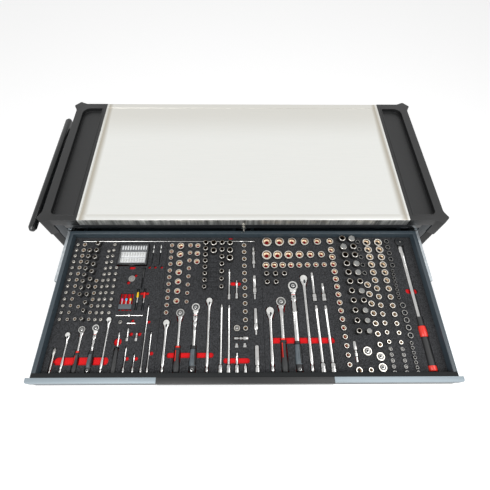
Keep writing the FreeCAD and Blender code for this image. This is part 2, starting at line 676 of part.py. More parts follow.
def drawer_box(name, box_x, front_x, top, front_height, rim, box_height):
    """A folded sheet box with a hollow rim and its front, in its closed place."""
    body = new_body(name)
    floor = f"{rim} - {box_height}"
    box_y = ("-front_gap", "box_back")

    def inset(by):
        return rectangle((f"{box_x[0]} + {by}", f"{box_x[1]} - {by}"), (f"{box_y[0]} + {by}", f"{box_y[1]} - {by}"))

    add(body, name + "Block", "z", floor, rim, inset("0"))
    take(body, name + "Cavity", "z", f"{floor} + drawer_sheet", rim, inset("wall_fold"))
    take(body, name + "RimChannel", "z", floor, f"{rim} - drawer_sheet",
         inset("drawer_sheet"), inset("(wall_fold - drawer_sheet)"))
    front = "-front_gap - front_thick"
    web = "-front_gap - finger_web"
    head = f"{top} - pull_metal"
    add(body, name + "Front", "x", front_x[0], front_x[1], [
        ("-front_gap", f"{top} - {front_height}"), ("-front_gap", head), (web, head),
        (web, f"{top} - pull_height - 6"), (front, f"{top} - pull_height - 16"),
        (front, f"{top} - {front_height}")])
    return body


def pull(name, front_x, top):
    """The full width aluminium pull with its hooked lip."""
    body = new_body(name)
    depth = ("-drawer_front_y", "-front_gap")
    add(body, name + "Block", "z", f"{top} - pull_height", top, rectangle(front_x, depth))
    round_edges(body, name + "Ends", "pull_round", upright_at((front_x[0], depth[0]), (front_x[1], depth[0])))
    lip = "-drawer_front_y + pull_metal"
    take(body, name + "Finger", "x", f"{front_x[0]} - 1", f"{front_x[1]} + 1", [
        ("-front_gap + 1", f"{top} - pull_metal"), (lip, f"{top} - pull_metal"),
        (lip, f"{top} - pull_height + pull_metal"), (f"{lip} + pull_hook", f"{top} - pull_height + pull_metal"),
        (f"{lip} + pull_hook", f"{top} - pull_height - 1"), ("-front_gap + 1", f"{top} - pull_height - 1")])
    return body


def grip_clip(name, mid, half, top):
    """The moulded grip that clips over the middle of a pull."""
    body = new_body(name)
    face = "-drawer_front_y - grip_proud"
    add(body, name + "Clip", "x", f"{mid} - {half}", f"{mid} + {half}", [
        ("-front_gap", top), ("-front_gap", f"{top} + grip_cap"), (f"{face} + 1", f"{top} + grip_cap"),
        (face, f"{top} + grip_cap - 1"), (face, f"{top} - pull_height - grip_cap"),
        ("-drawer_front_y + pull_metal", f"{top} - pull_height - grip_cap"),
        ("-drawer_front_y + pull_metal", f"{top} - pull_height"), ("-drawer_front_y", f"{top} - pull_height"),
        ("-drawer_front_y", top)])
    return body


# Slide members, each with its box side at X = 0 and its middle height at Z = 0

def channel(name, length, web, tip, half):
    """A folded channel along Y, from its web to its flange tips."""
    body = new_body(name)
    inner = f"{half} - slide_metal"
    inward = f"{web} + slide_metal" if value(tip) > value(web) else f"{web} - slide_metal"
    add(body, name + "Fold", "y", "0", length, [
        (web, f"-({half})"), (tip, f"-({half})"), (tip, f"-({inner})"), (inward, f"-({inner})"),
        (inward, inner), (tip, inner), (tip, half), (web, half)])
    return body


def make_slide_members():
    nested = "slide_half - slide_metal - slide_play"
    members = {
        "cabinet": channel("CabinetMember", "slide_length", "slide_thick", "3", "slide_half"),
        "middle": channel("MiddleMember", "middle_length", "slide_thick - 3", "3", nested),
        "drawer": channel("DrawerMember", "slide_length - 4", "0", "6.5", f"{nested} - slide_metal - slide_play"),
    }
    return {kind: (body, mirrored(body, f"{kind}MemberMirror")) for kind, body in members.items()}


def slide_pair(name, kind, members, box_x, y, z):
    """The right and the left member of one drawer."""
    right, left = members[kind]
    return [copy_of(right, name + "Right", box_x[1], y, z), copy_of(left, name + "Left", box_x[0], y, z)]


def make_drawers():
    members = make_slide_members()
    cabinet_members = []
    start = {"cabinet": "steel + 1", "drawer": "-front_gap + 2", "middle": "middle_inset"}

    top_x = ("-top_box_half", "top_box_half")
    top_front = ("-bay_half + front_clear", "bay_half - front_clear")
    top_slide = "top_rim - top_box_height + slide_rise"
    box = drawer_box("TopBox", top_x, top_front, "top_rim", "top_front_height", "top_rim", "top_box_height")
    node(box, "top_drawer_box", y="-travel")
    node(pull("TopPull", top_front, "top_rim"), "top_drawer_pull", y="-travel")
    node(grip_clip("TopGrip", "0", "grip_half", "top_rim"), "top_drawer_grip", y="-travel")
    node(group("TopSlides", slide_pair("TopDrawerMember", "drawer", members, top_x, start["drawer"], top_slide)),
         "top_drawer_slides", y="-travel")
    node(group("TopMiddles", slide_pair("TopMiddleMember", "middle", members, top_x, start["middle"], top_slide)),
         "top_drawer_middle_slides", y="-travel / 2")
    cabinet_members += slide_pair("TopCabinetMember", "cabinet", members, top_x, start["cabinet"], top_slide)

    banks = {
        "left": ("-bay_half", "-divider_half", "-bay_half + front_clear", "-front_clear"),
        "right": ("divider_half", "bay_half", "front_clear", "bay_half - front_clear"),
    }
    rows = {"upper": "upper_top", "middle": "middle_top", "lower": "lower_top"}
    for bank, (bay_low, bay_high, front_low, front_high) in banks.items():
        for row, top in rows.items():
            name = (bank + " " + row).title().replace(" ", "")
            label = f"{bank}_{row}_drawer"
            height = f"{row}_front_height"
            rim = f"{top} - bank_rim_drop"
            box_height = f"({height} - bank_box_loss)"
            box_x = (f"{bay_low} + slide_thick", f"{bay_high} - slide_thick")
            front_x = (front_low, front_high)
            slide_z = f"{rim} - {box_height} + slide_rise"
            body = drawer_box(name + "Box", box_x, front_x, top, height, rim, box_height)
            own = slide_pair(name + "DrawerMember", "drawer", members, box_x, start["drawer"], slide_z)
            node(group(name + "BoxWithSlides", [body] + own), label + "_box")
            grip = grip_clip(name + "Grip", f"({front_low} + {front_high}) / 2", "bank_grip_half", top)
            node(group(name + "PullAndGrip", [pull(name + "Pull", front_x, top), grip]), label + "_pull")
            node(group(name + "Middles",
                       slide_pair(name + "MiddleMember", "middle", members, box_x, start["middle"], slide_z)),
                 label + "_middle_slides")
            cabinet_members += slide_pair(name + "CabinetMember", "cabinet", members, box_x,
                                          start["cabinet"], slide_z)
    node(group("CabinetSlides", cabinet_members), "cabinet_slides")


# Foam inlay and the hand tools that lie in it, in the closed drawer; Y from the cabinet's front

RATCHETS = [
    # x, y of the head, length, head radius, grip radius, grip length, handle radius
    (-610, 141, 135, 10, 5, 40, 3.5),
    (-566, 159, 155, 12, 9, 66, 4),
    (-519, 165, 160, 11, 10, 66, 4),
    (-478, 194, 188, 10, 5, 40, 3.5),
    (-275, 182, 179, 13, 6, 60, 5),
    (-229, 218, 217, 15, 12, 82, 5),
    (-175, 239, 237, 14, 12, 82, 5),
    (-127, 263, 260, 13, 6, 60, 5),
    (92, 225, 225, 16, 7, 70, 6),
    (133, 259, 261, 18, 12, 106, 7),
    (181, 321, 322, 17, 12, 96, 8),
    (224, 350, 350, 16, 7, 80, 6),
]

BARS = [
    # x, y of the back end, length, rod radius, drive end radius
    (-404, 104, 88, 3, 5.5),
    (-373, 80, 64, 3, 5.5),
    (-346, 250, 234, 3.5, 5.5),
    (-325, 154, 138, 3.5, 5.5),
    (-82, 250, 234, 4.5, 8),
    (-55, 248, 232, 4.5, 8),
    (-27, 80, 64, 4.5, 8),
    (258, 375, 115, 5.5, 9.5),
    (293, 331, 70, 5.5, 9.5),
    (260, 246, 230, 5.5, 9.5),
    (294, 245, 229, 5.5, 9.5),
    (-56, 391, 122, 4.5, 7),
    (-28, 345, 73, 4.5, 7),
    (1, 44, 28, 4.5, 7),
    (38, 485, 90, 5, 8),
    (39, 362, 93, 5, 8),
    (40, 234, 94, 5, 8),
    (41, 103, 87, 5, 8),
]

TORQUE_STEPS = [
    # radius, y low, y high: tube, sleeve, collar, grip and end cap of the torque wrench
    (8, 38, 448),
    (11, 168, 202),
    (15, 130, 168),
    (13, 30, 130),
    (15, 18, 36),
]

BANDS = [
    # x low, x high, y middle, width: finger recesses that show the red layer
    (-640, -458, 54, 26),
    (-265, -106, 72, 18),
    (-73, 16, 54, 18),
    (90, 312, 120, 21),
    (599, 644, 299, 20),
]


def tool_cells():
    """Adds the tools' sizes to the sheet, one row for each number."""
    columns = {
        "ratchet": ("x", "y", "long", "head", "grip", "hold", "shank"),
        "bar": ("x", "y", "long", "rod", "end"),
        "torque": ("radius", "low", "high"),
        "band": ("low", "high", "y", "wide"),
    }
    tables = {"ratchet": RATCHETS, "bar": BARS, "torque": TORQUE_STEPS, "band": BANDS}
    for kind, table in tables.items():
        for number, entry in enumerate(table):
            for column, content in zip(columns[kind], entry):
                alias = f"{kind}_{number}_{column}"
                row = len(aliases) + 1
                sheet.set(f"A{row}", alias.replace("_", " "))
                sheet.set(f"B{row}", str(content))
                sheet.setAlias(f"B{row}", alias)
                aliases.append(alias)
    doc.recompute()


POCKET_Z = ("pocket_floor", "foam_level + 1")
BAND_Z = ("red_level", "foam_level + 1")


def pocket_block(name, middle, half, low, high, depth=POCKET_Z):
    """A straight pocket along Y, cut through the black layer into the red."""
    return block(name, (f"{middle} - ({half})", f"{middle} + ({half})"), (low, high), depth)


def pocket_round(name, x, y, radius, depth=POCKET_Z):
    """A round pocket, cut through the black layer into the red."""
    return prism(name, "z", 12, radius, *depth, (x, y))


def make_ratchets():
    """Round-headed ratchets lying along Y, and the pockets they need."""
    tools, pockets = [], []
    axis = "(pocket_floor + tool_axis_rise)"
    for number in range(len(RATCHETS)):
        x, y, long, head, grip, hold, shank = (
            f"ratchet_{number}_{part}" for part in ("x", "y", "long", "head", "grip", "hold", "shank"))
        name = f"Ratchet{number}"
        tail = f"{y} - {long} + {head}"
        neck_y = f"{y} - {head} * neck_run"
        disc = prism(name + "Head", "z", 12, head, f"{axis} - head_low", f"{axis} + head_high", (x, y))
        drive = prism(name + "Drive", "z", 4, f"{head} * 0.5", "pocket_floor", f"{axis} - head_high", (x, y))
        neck = wedge(name + "Neck", neck_y, y, shank, f"{head} * neck_wide", "neck_half", (x, axis))
        shaft = prism(name + "Shaft", "y", 8, shank, f"{tail} + 2", f"{neck_y} + 2", (x, axis))
        handle = prism(name + "Grip", "y", 8, grip, tail, f"{tail} + {hold}", (x, axis))
        tools.append(fuse(name, [disc, drive, neck, shaft, handle]))
        pockets += [
            pocket_round(name + "HeadPocket", x, y, f"{head} + pocket_play"),
            pocket_block(name + "NeckPocket", x, f"{head} * neck_wide + pocket_play", f"{neck_y} - 1", y),
            pocket_block(name + "ShaftPocket", x, f"{shank} + pocket_play", f"{tail} + {hold} - 1", y),
            pocket_block(name + "GripPocket", x, f"{grip} + pocket_play", f"{tail} - pocket_play",
                         f"{tail} + {hold} + pocket_play"),
        ]
    return tools, pockets


def make_bars():
    """Extension bars lying along Y with the drive end to the front."""
    tools, pockets = [], []
    for number in range(len(BARS)):
        x, y, long, bar, end = (f"bar_{number}_{part}" for part in ("x", "y", "long", "rod", "end"))
        name = f"Bar{number}"
        front = f"{y} - {long}"
        axis = f"(pocket_floor + {end})"
        socket = prism(name + "Socket", "y", 8, end, front, f"{front} + {end} * 3", (x, axis))
        shaft = prism(name + "Rod", "y", 8, bar, f"{front} + 2", f"{y} - {end}", (x, axis))
        square = prism(name + "Square", "y", 4, f"{bar} * 1.2", f"{y} - {end} * 1.4", y, (x, axis))
        tools.append(fuse(name, [socket, shaft, square]))
        pockets.append(pocket_block(name + "Pocket", x, f"{end} + pocket_play", f"{front} - pocket_play",
                                    f"{y} + pocket_play"))
    tools.append(prism("LongBar", "x", 8, "long_bar_radius", "long_bar_left", "long_bar_right",
                       ("long_bar_y", "red_level + long_bar_radius")))
    pockets.append(block("LongBarPocket", ("long_bar_left - pocket_play", "long_bar_right + pocket_play"),
                         ("long_bar_y - long_bar_radius - pocket_play", "long_bar_y + long_bar_radius + pocket_play"),
                         BAND_Z))
    return tools, pockets


def make_torque_wrench():
    """A long click wrench at the right side of the drawer."""
    floor = "(foam_level - torque_deep)"
    axis = f"({floor} + torque_rise)"
    head_y, neck_y = "torque_head_y", "(torque_head_y - torque_neck)"
    steps = [prism(f"TorqueStep{number}", "y", 8, f"torque_{number}_radius", f"torque_{number}_low",
                   f"torque_{number}_high", ("torque_x", axis)) for number in range(len(TORQUE_STEPS))]
    head = prism("TorqueHead", "z", 12, "torque_head", f"{axis} - 13", f"{axis} + 11", ("torque_x", head_y))
    foot = prism("TorqueDrive", "z", 4, "torque_head * 0.4", floor, f"{axis} - 12", ("torque_x", head_y))
    neck = wedge("TorqueNeck", neck_y, head_y, "torque_0_radius", "torque_head * 0.6", "7", ("torque_x", axis))
    wrench = fuse("TorqueWrench", [head, foot, neck] + steps)
    node(wrench, "torque_wrench", y="-travel")
    depth = (floor, "foam_level + 1")
    return [
        pocket_round("TorqueHeadPocket", "torque_x", head_y, "torque_head + pocket_play", depth),
        pocket_block("TorqueTubePocket", "torque_x", "torque_head * 0.6 + pocket_play",
                     "torque_2_high - pocket_play", head_y, depth),
        pocket_block("TorqueGripPocket", "torque_x", "torque_2_radius + pocket_play",
                     "torque_4_low - pocket_play", "torque_2_high + pocket_play", depth),
    ]


def make_bit_case():
    """A flat case for driver bits with a catch at its front."""
    body = block("BitCaseBody", ("case_x - case_half", "case_x + case_half"),
                 ("case_front", "case_front + case_depth"), ("pocket_floor", "foam_level + case_proud"))
    catch = block("BitCaseCatch", ("case_x - catch_half", "case_x + catch_half"),
                  ("case_front - catch_depth", "case_front + 1"), ("pocket_floor + 4", "foam_level + case_proud - 2"))
    node(fuse("BitCase", [body, catch]), "bit_case", y="-travel")
    return pocket_block("BitCasePocket", "case_x", "case_half + pocket_sides_gap",
                        "case_front - catch_depth - pocket_play", "case_front + case_depth + pocket_sides_gap")


def make_contents():
    tool_cells()
    ratchets, ratchet_pockets = make_ratchets()
    bars, bar_pockets = make_bars()
    node(group("Ratchets", ratchets), "ratchets", y="-travel")
    node(group("ExtensionBars", bars), "extension_bars", y="-travel")
    pockets = ratchet_pockets + bar_pockets + make_torque_wrench() + [make_bit_case()]
    bands = []
    for number in range(len(BANDS)):
        low, high, mid, wide = (f"band_{number}_{part}" for part in ("low", "high", "y", "wide"))
        bands.append(block(f"Band{number}", (low, high), (f"{mid} - {wide} / 2", f"{mid} + {wide} / 2"), BAND_Z))
    inner_x = ("-top_box_half + wall_fold + foam_side_gap", "top_box_half - wall_fold - foam_side_gap")
    inner_y = ("-front_gap + wall_fold + foam_side_gap", "box_back - wall_fold - foam_side_gap")
    blank = block("FoamBlank", inner_x, inner_y, ("red_level", "foam_level"))
    all_pockets = fuse("Pockets", pockets)
    pierced = cut("FoamTopPockets", blank, all_pockets)
    node(cut("FoamTop", pierced, group("Bands", bands)), "foam_top", y="-travel")
    base = block("FoamBaseBlock", inner_x, inner_y, ("top_rim - top_box_height + drawer_sheet", "red_level"))
    node(cut("FoamBase", base, all_pockets), "foam_base", y="-travel")


# Lock: barrel, turning cylinder with its rod and lever, key and locking bar

def make_lock():
    centre = ("0", "lock_height")
    bezel = rod("Bezel", "y", "bezel_radius", "-bezel_proud", "0", centre)
    barrel = rod("Barrel", "y", "lock_radius", "-1", "lock_depth", centre)
    bore = rod("Bore", "y", "cylinder_radius + turning_play", "-bezel_proud - 1", "lock_depth + 1", centre)
    node(cut("LockBarrel", fuse("LockBarrelSolid", [bezel, barrel]), bore), "lock_barrel")

    plug = rod("Plug", "y", "cylinder_radius", "-bezel_proud + 0.5", "lock_depth + 2", centre)
    keyway = block("Keyway", ("-key_thick / 2 - 0.1", "key_thick / 2 + 0.1"), ("-bezel_proud", "lock_depth - 4"),
                   ("lock_height - key_blade - 0.1", "lock_height + key_blade + 0.1"))
    tail = rod("LockRod", "y", "lock_rod_radius", "lock_depth + 1", "lock_bar_back - lock_rod_gap", centre)
    lever = new_body("Lever")
    add(lever, "LeverArm", "y", "lock_bar_back - lock_rod_gap - lever_thick", "lock_bar_back - lock_rod_gap", [
        ("3.5", "lock_height"), ("0", "lock_height + 4.5"), ("-lever_side - 4", "lock_height - lever_side + 1"),
        ("-lever_side - 1", "lock_height - lever_side - 4"), ])
    pin = rod("LeverPin", "y", "lever_pin", "lock_bar_back - lock_rod_gap - 2", "lock_bar_back + bar_thick + 3",
              ("-lever_side", "lock_height - lever_side"))
    node(fuse("LockCylinder", [cut("PlugWithKeyway", plug, keyway), tail, lever, pin]), "lock_cylinder")

    blade = block("KeyBlade", ("-key_thick / 2", "key_thick / 2"), ("-key_neck - 1", "lock_depth - 6"),
                  ("lock_height - key_blade", "lock_height + key_blade"))
    bow = new_body("KeyBow")
    half = "key_width / 2"
    add(bow, "KeyBowPlate", "x", "-key_thick / 2", "key_thick / 2", [
        ("-key_neck", "lock_height - key_blade - 1"), ("-key_neck", "lock_height + key_blade + 1"),
        ("-key_neck - key_bevel", f"lock_height + {half}"), ("-key_reach + key_bevel", f"lock_height + {half}"),
        ("-key_reach", f"lock_height + {half} - key_bevel"), ("-key_reach", f"lock_height - {half} + key_bevel"),
        ("-key_reach + key_bevel", f"lock_height - {half}"), ("-key_neck - key_bevel", f"lock_height - {half}")])
    ring = rod("KeyEye", "x", "3", "-key_thick", "key_thick", ("-key_reach + 7", "lock_height"))
    node(cut("Key", fuse("KeySolid", [blade, bow]), ring), "key")

    # the lever's pin swings through the lowest point of its circle and takes the bar's upright slot sideways
    pin_room = "(lever_pin + lever_play)"
    head_top = f"lock_height - lever_side + {pin_room} + slot_wall"
    bar_y = ("lock_bar_back", "lock_bar_back + bar_thick")
    shoulder = "middle_top + guide_height + bar_play"
    bar = fuse("LockBarSolid", [
        block("LockBarStrip", ("-bar_half", "bar_half"), bar_y, ("base_top + 20", f"{shoulder} + 1")),
        block("LockBarHead", ("-bar_half - bar_shoulder", "bar_half + bar_shoulder"), bar_y, (shoulder, head_top))])
    slot = block("LockBarSlot", (f"-lever_side - {pin_room}", f"-lever_side + {pin_room}"),
                 ("lock_bar_back - 1", "lock_bar_back + bar_thick + 1"),
                 (f"lock_height - lever_reach - {pin_room}", f"lock_height - lever_side + {pin_room}"))
    node(cut("LockBar", bar, slot), "lock_bar")

    guides = []
    for name, height in (("Low", "base_top + 60"), ("High", "middle_top")):
        solid = block(f"Guide{name}", ("-bar_half - guide_side", "bar_half + bar_travel + guide_side"),
                      ("lock_bar_back - 3", "frame_back - steel"), (height, f"{height} + guide_height"))
        way = block(f"GuideWay{name}", ("-bar_half - bar_play", "bar_half + bar_travel + bar_play"),
                    ("lock_bar_back - bar_play", "lock_bar_back + bar_thick + bar_play"),
                    (f"{height} - 1", f"{height} + guide_height + 1"))
        guides.append(cut(f"BarGuide{name}", solid, way))
    rod_guide = block("RodGuide", ("-hanger_half", "hanger_half"), ("hanger_y", "hanger_y + hanger_thick"),
                      ("lock_height - hanger_half", "under_apron - steel"))
    rod_way = rod("RodWay", "y", "lock_rod_radius + 0.1", "hanger_y - 1", "hanger_y + hanger_thick + 1", centre)
    guides.append(cut("RodHanger", rod_guide, rod_way))
    node(group("LockGuides", guides), "lock_guides")


# Casters: two fixed at the right, two swivelling with brakes at the handle side

def caster_plate(name, x, y):
    plate = block(name + "Plate", (f"{x} - plate_length / 2", f"{x} + plate_length / 2"),
                  (f"{y} - plate_width / 2", f"{y} + plate_width / 2"), ("base_clear - plate_thick", "base_clear"))
    heads = [
        prism(f"{name}Bolt{number}", "z", 6, "bolt_radius", "base_clear - plate_thick - 4",
              "base_clear - plate_thick + 1", (f"{x} {sx} plate_bolt_x / 2", f"{y} {sy} plate_bolt_y / 2"))
        for number, (sx, sy) in enumerate((("-", "-"), ("+", "-"), ("-", "+"), ("+", "+")))]
    return [plate] + heads


def fork_body(name, trail, roof):
    """A pressed fork with tapered legs; its axle is fixed in it. The swivel axis is at the body's origin."""
    legs = []
    sides = {"Front": ("-fork_half - fork_metal", "-fork_half"), "Back": ("fork_half", "fork_half + fork_metal")}
    for side, (near, far) in sides.items():
        leg = new_body(name + "Leg" + side)
        add(leg, name + "Web" + side, "y", near, far, [
            ("-crown_front", roof), (f"{trail} - leg_half", "wheel_radius"),
            (f"{trail} - leg_tip", "wheel_radius - leg_drop"), (f"{trail} + leg_tip", "wheel_radius - leg_drop"),
            (f"{trail} + leg_half", "wheel_radius"), ("crown_back", roof)])
        legs.append(leg)
    crown = block(name + "Crown", ("-crown_front", "crown_back"), ("-fork_half - fork_metal", "fork_half + fork_metal"),
                  (f"{roof} - fork_metal", roof))
    axle = rod(name + "Axle", "y", "axle_radius", "-fork_half - fork_metal - 4", "fork_half + fork_metal + 4",
               (trail, "wheel_radius"))
    return legs + [crown, axle]


def wheel_body(name):
    """A solid wheel with sloped shoulders and a hub at each side, turned about its axle."""
    body = new_body(name)
    bore = "axle_radius + turning_play"
    half = "wheel_width / 2"
    hub = "fork_half - hub_gap"
    shoulder = "wheel_radius - tyre_shoulder"
    turned(body, name + "Turn", "x", "Y_Axis", [
        (f"-({hub})", bore), (f"-({hub})", "hub_radius"), (f"-({half})", shoulder),
        (f"-({half}) + tyre_shoulder", "wheel_radius"), (f"{half} - tyre_shoulder", "wheel_radius"),
        (half, shoulder), (hub, "hub_radius"), (hub, bore)])
    return body


def make_casters():
    rows = {"front": "caster_y", "back": "worktop_depth - caster_y"}
    fixed, plates = [], []
    race_low = "base_clear - plate_thick - race_height"
    for row, y in rows.items():
        tag = row.title()
        roof = "(base_clear - plate_thick)"
        fixed_parts = fork_body("Fixed" + tag, "0", roof)
        moved = copy_of(fuse(f"FixedFork{tag}", fixed_parts), f"FixedForkAt{tag}", "caster_x", y)
        fixed.append(fuse(f"FixedCaster{tag}", [moved] + caster_plate("Fixed" + tag, "caster_x", y)))
        node(wheel_body("FixedWheel" + tag), f"fixed_wheel_{row}", "caster_x", y, "wheel_radius")

        race = rod(f"Race{tag}", "z", "race_radius", race_low, "base_clear - plate_thick + 1", ("-caster_x", y))
        pin_hole = rod(f"PinHole{tag}", "z", "axle_radius + turning_play", f"{race_low} - 1", "base_clear - 2",
                       ("-caster_x", y))
        plate = fuse(f"SwivelPlateSolid{tag}", [race] + caster_plate("Swivel" + tag, "-caster_x", y))
        plates.append(cut(f"SwivelPlate{tag}", plate, pin_hole))

        roof = f"({race_low} - turning_play * 4)"
        parts = fork_body("Swivel" + tag, "-swivel_trail", roof)
        pin = rod(f"KingPin{tag}", "z", "axle_radius", f"{roof} - 1", "base_clear - 3", ("0", "0"))
        node(fuse(f"SwivelFork{tag}", parts + [pin]), f"swivel_fork_{row}", "-caster_x", y)
        node(wheel_body("SwivelWheel" + tag), f"swivel_wheel_{row}", "-caster_x - swivel_trail", y, "wheel_radius")
    node(group("FixedForks", fixed), "fixed_caster_forks")
    node(group("SwivelPlates", plates), "swivel_caster_plates")


def check_and_export():
    """Stops on any failed object, then writes one file for each sub-part."""
    doc.recompute()
    failed = [obj.Label for obj in doc.Objects if "Invalid" in obj.State or "Error" in obj.State]
    if failed:
        raise RuntimeError(f"failed objects: {failed}")
    for obj in doc.Objects:
        if obj.TypeId == "PartDesign::Pocket" and obj.Shape.Volume >= obj.BaseFeature.Shape.Volume - 1:
            raise RuntimeError(f"{obj.Name} cuts nothing")
    bad = [obj.Label for obj in nodes if obj.Shape.isNull() or not obj.Shape.isValid() or not obj.Shape.Solids]
    if bad:
        raise RuntimeError(f"bad shapes: {bad}")
    os.makedirs("parts", exist_ok=True)
    for obj in nodes:
        obj.Shape.exportStep(f"parts/{obj.Label}.step")
    print(len(nodes), "sub-parts written")


make_worktop()
make_end_caps()
make_carcase()
make_posts()
make_handle()
make_drawers()
make_contents()
make_lock()
make_casters()
check_and_export()
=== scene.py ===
"""Looks of the rolling tool cabinet. Lengths in the tables are millimetres, from the middle of the worktop's front edge."""
import json
import math

import bmesh
import bpy
from mathutils import Matrix, Vector


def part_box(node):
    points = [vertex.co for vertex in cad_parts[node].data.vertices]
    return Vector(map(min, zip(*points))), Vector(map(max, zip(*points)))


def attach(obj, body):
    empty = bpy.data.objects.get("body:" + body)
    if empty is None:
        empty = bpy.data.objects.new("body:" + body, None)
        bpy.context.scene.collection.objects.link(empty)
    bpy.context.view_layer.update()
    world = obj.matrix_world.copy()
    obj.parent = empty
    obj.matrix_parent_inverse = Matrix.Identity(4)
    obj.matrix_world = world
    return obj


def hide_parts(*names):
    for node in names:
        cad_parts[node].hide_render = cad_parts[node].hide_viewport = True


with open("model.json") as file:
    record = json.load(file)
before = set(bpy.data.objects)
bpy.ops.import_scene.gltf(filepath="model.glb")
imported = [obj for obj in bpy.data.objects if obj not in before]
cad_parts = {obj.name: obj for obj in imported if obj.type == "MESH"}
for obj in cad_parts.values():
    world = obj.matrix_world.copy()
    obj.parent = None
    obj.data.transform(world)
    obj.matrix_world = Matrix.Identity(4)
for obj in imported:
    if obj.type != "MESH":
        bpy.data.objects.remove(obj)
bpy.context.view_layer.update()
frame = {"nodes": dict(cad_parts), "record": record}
nodes = frame["nodes"]
body_of = {node: body for body, members in frame["record"]["behaviour"]["bodies"].items() for node in members}

# The tables' origin, as a place in the row's frame
ORIGIN = Vector((0.040, -0.0475, 0))
FOAM_TOP = 959.0
RED_TOP = 951.0
POCKET_FLOOR = 943.0
BAR_BED = POCKET_FLOOR + 3
TOOL_AXIS = 955.0
DRAWER = "top_drawer"


# Metres from the worktop's middle where a painted shade line along its ends or front starts to darken, is darkest and
# clears again; in Y, where painted shade greys its back
END_SHADE_LINE = (0.600, 0.628, 0.634)
FRONT_SHADE_LINE = (0.297, 0.305, 0.320)
WORKTOP_MIDDLE = ORIGIN + Vector((0, 0.328, 0))
REAR_SHADE_GREY = (0.36, 0.56)


def place(x, y, z):
    return Vector((x, y, z)) / 1000 + ORIGIN


# Materials

def linear(code):
    """A linear colour from an sRGB hex code."""
    parts = [int(code[i:i + 2], 16) / 255 for i in (1, 3, 5)]
    return (*(c / 12.92 if c <= 0.04045 else ((c + 0.055) / 1.055) ** 2.4 for c in parts), 1)


def add(tree, kind, inputs=None, **settings):
    """Adds a node with its settings; an input is a value or another node's output."""
    made = tree.nodes.new("ShaderNode" + kind)
    for name, setting in settings.items():
        setattr(made, name, setting)
    for name, given in (inputs or {}).items():
        if isinstance(given, bpy.types.NodeSocket):
            tree.links.new(given, made.inputs[name])
        else:
            made.inputs[name].default_value = given
    return made


def new_material(name):
    """An empty material, with its node tree, output and object coordinates."""
    made = bpy.data.materials.new(name)
    made.use_nodes = True
    tree = made.node_tree
    tree.nodes.clear()
    place_on = add(tree, "TexCoord").outputs["Object"]
    return made, tree, place_on


def shade(tree, inputs):
    """The principled shader that ends a material."""
    shader = add(tree, "BsdfPrincipled", inputs)
    add(tree, "OutputMaterial", {"Surface": shader.outputs[0]})
    return shader


def ramp(tree, factor, dark, light, low=0.3, high=0.7):
    """Blends two colours by a texture's value."""
    made = add(tree, "ValToRGB", {"Fac": factor})
    made.color_ramp.elements[0].position, made.color_ramp.elements[0].color = low, dark
    made.color_ramp.elements[1].position, made.color_ramp.elements[1].color = high, light
    return made.outputs["Color"]


def spread(tree, factor, low, high):
    """Turns a texture's 0 to 1 into a range."""
    return add(tree, "MapRange", {"Value": factor, "To Min": low, "To Max": high}).outputs["Result"]


def painted_shade_line(tree, across, middle, edges, strength):
    """A line of painted shade that darkens and clears again with the distance from the worktop's middle."""
    from_middle = add(tree, "Math", {0: across, 1: middle}, operation="SUBTRACT").outputs[0]
    outward = add(tree, "Math", {0: from_middle}, operation="ABSOLUTE").outputs[0]
    rolled = add(tree, "MapRange", {"Value": outward, "From Min": edges[0], "From Max": edges[1],
                                    "To Max": strength}, interpolation_type="SMOOTHSTEP").outputs["Result"]
    unrolled = add(tree, "MapRange", {"Value": outward, "From Min": edges[1], "From Max": edges[2],
                                      "To Min": 1.0, "To Max": 0.0}).outputs["Result"]
    return add(tree, "Math", {0: rolled, 1: unrolled}, operation="MULTIPLY").outputs[0]


def brushed_stainless():
    """Stainless sheet, belt ground along the worktop: long fine scratches that smear reflections across them."""
    made, tree, where = new_material("brushed_stainless_sheet")
    # scratches 120 mm long and 0.8 mm apart, twice as coarse as the real belt's so that they show
    along = add(tree, "Mapping", {"Vector": where, "Scale": (8, 1250, 1250)}).outputs[0]
    scratch = add(tree, "TexNoise", {"Vector": along, "Scale": 1.0, "Detail": 3.0, "Roughness": 0.6}).outputs["Fac"]
    cloud = add(tree, "TexNoise", {"Vector": where, "Scale": 3.0, "Detail": 2.0}).outputs["Fac"]
    # painted shade: a darker warm line inside the folded ends and along the front rim, and a grey that deepens towards
    # the back rim
    axes = add(tree, "SeparateXYZ", {"Vector": where}).outputs
    ends = painted_shade_line(tree, axes["X"], WORKTOP_MIDDLE.x, END_SHADE_LINE, 1.0)
    front = painted_shade_line(tree, axes["Y"], WORKTOP_MIDDLE.y, FRONT_SHADE_LINE, 0.35)
    line = add(tree, "Math", {0: ends, 1: front}, operation="MAXIMUM").outputs[0]
    rear_shade = add(tree, "MapRange", {"Value": axes["Y"], "From Min": REAR_SHADE_GREY[0], "From Max": REAR_SHADE_GREY[1],
                                  "To Max": 0.35}, interpolation_type="SMOOTHSTEP").outputs["Result"]
    painted_shade = add(tree, "Math", {0: line, 1: rear_shade}, operation="MAXIMUM").outputs[0]
    sheet = ramp(tree, scratch, linear("#E6E7E3"), linear("#ECECE8"))
    # the painted shade mixes the sheet's colour towards a warm grey
    shaded_sheet = add(tree, "Mix", data_type="RGBA")
    tree.links.new(painted_shade, shaded_sheet.inputs[0])
    tree.links.new(sheet, shaded_sheet.inputs[6])
    shaded_sheet.inputs[7].default_value = linear("#B9B3A6")
    grain = add(tree, "Bump", {"Height": scratch, "Strength": 0.03, "Distance": 0.0003}).outputs[0]
    shade(tree, {
        "Base Color": shaded_sheet.outputs[2],
        "Metallic": 1.0, "Roughness": spread(tree, cloud, 0.28, 0.34), "Normal": grain})
    return made


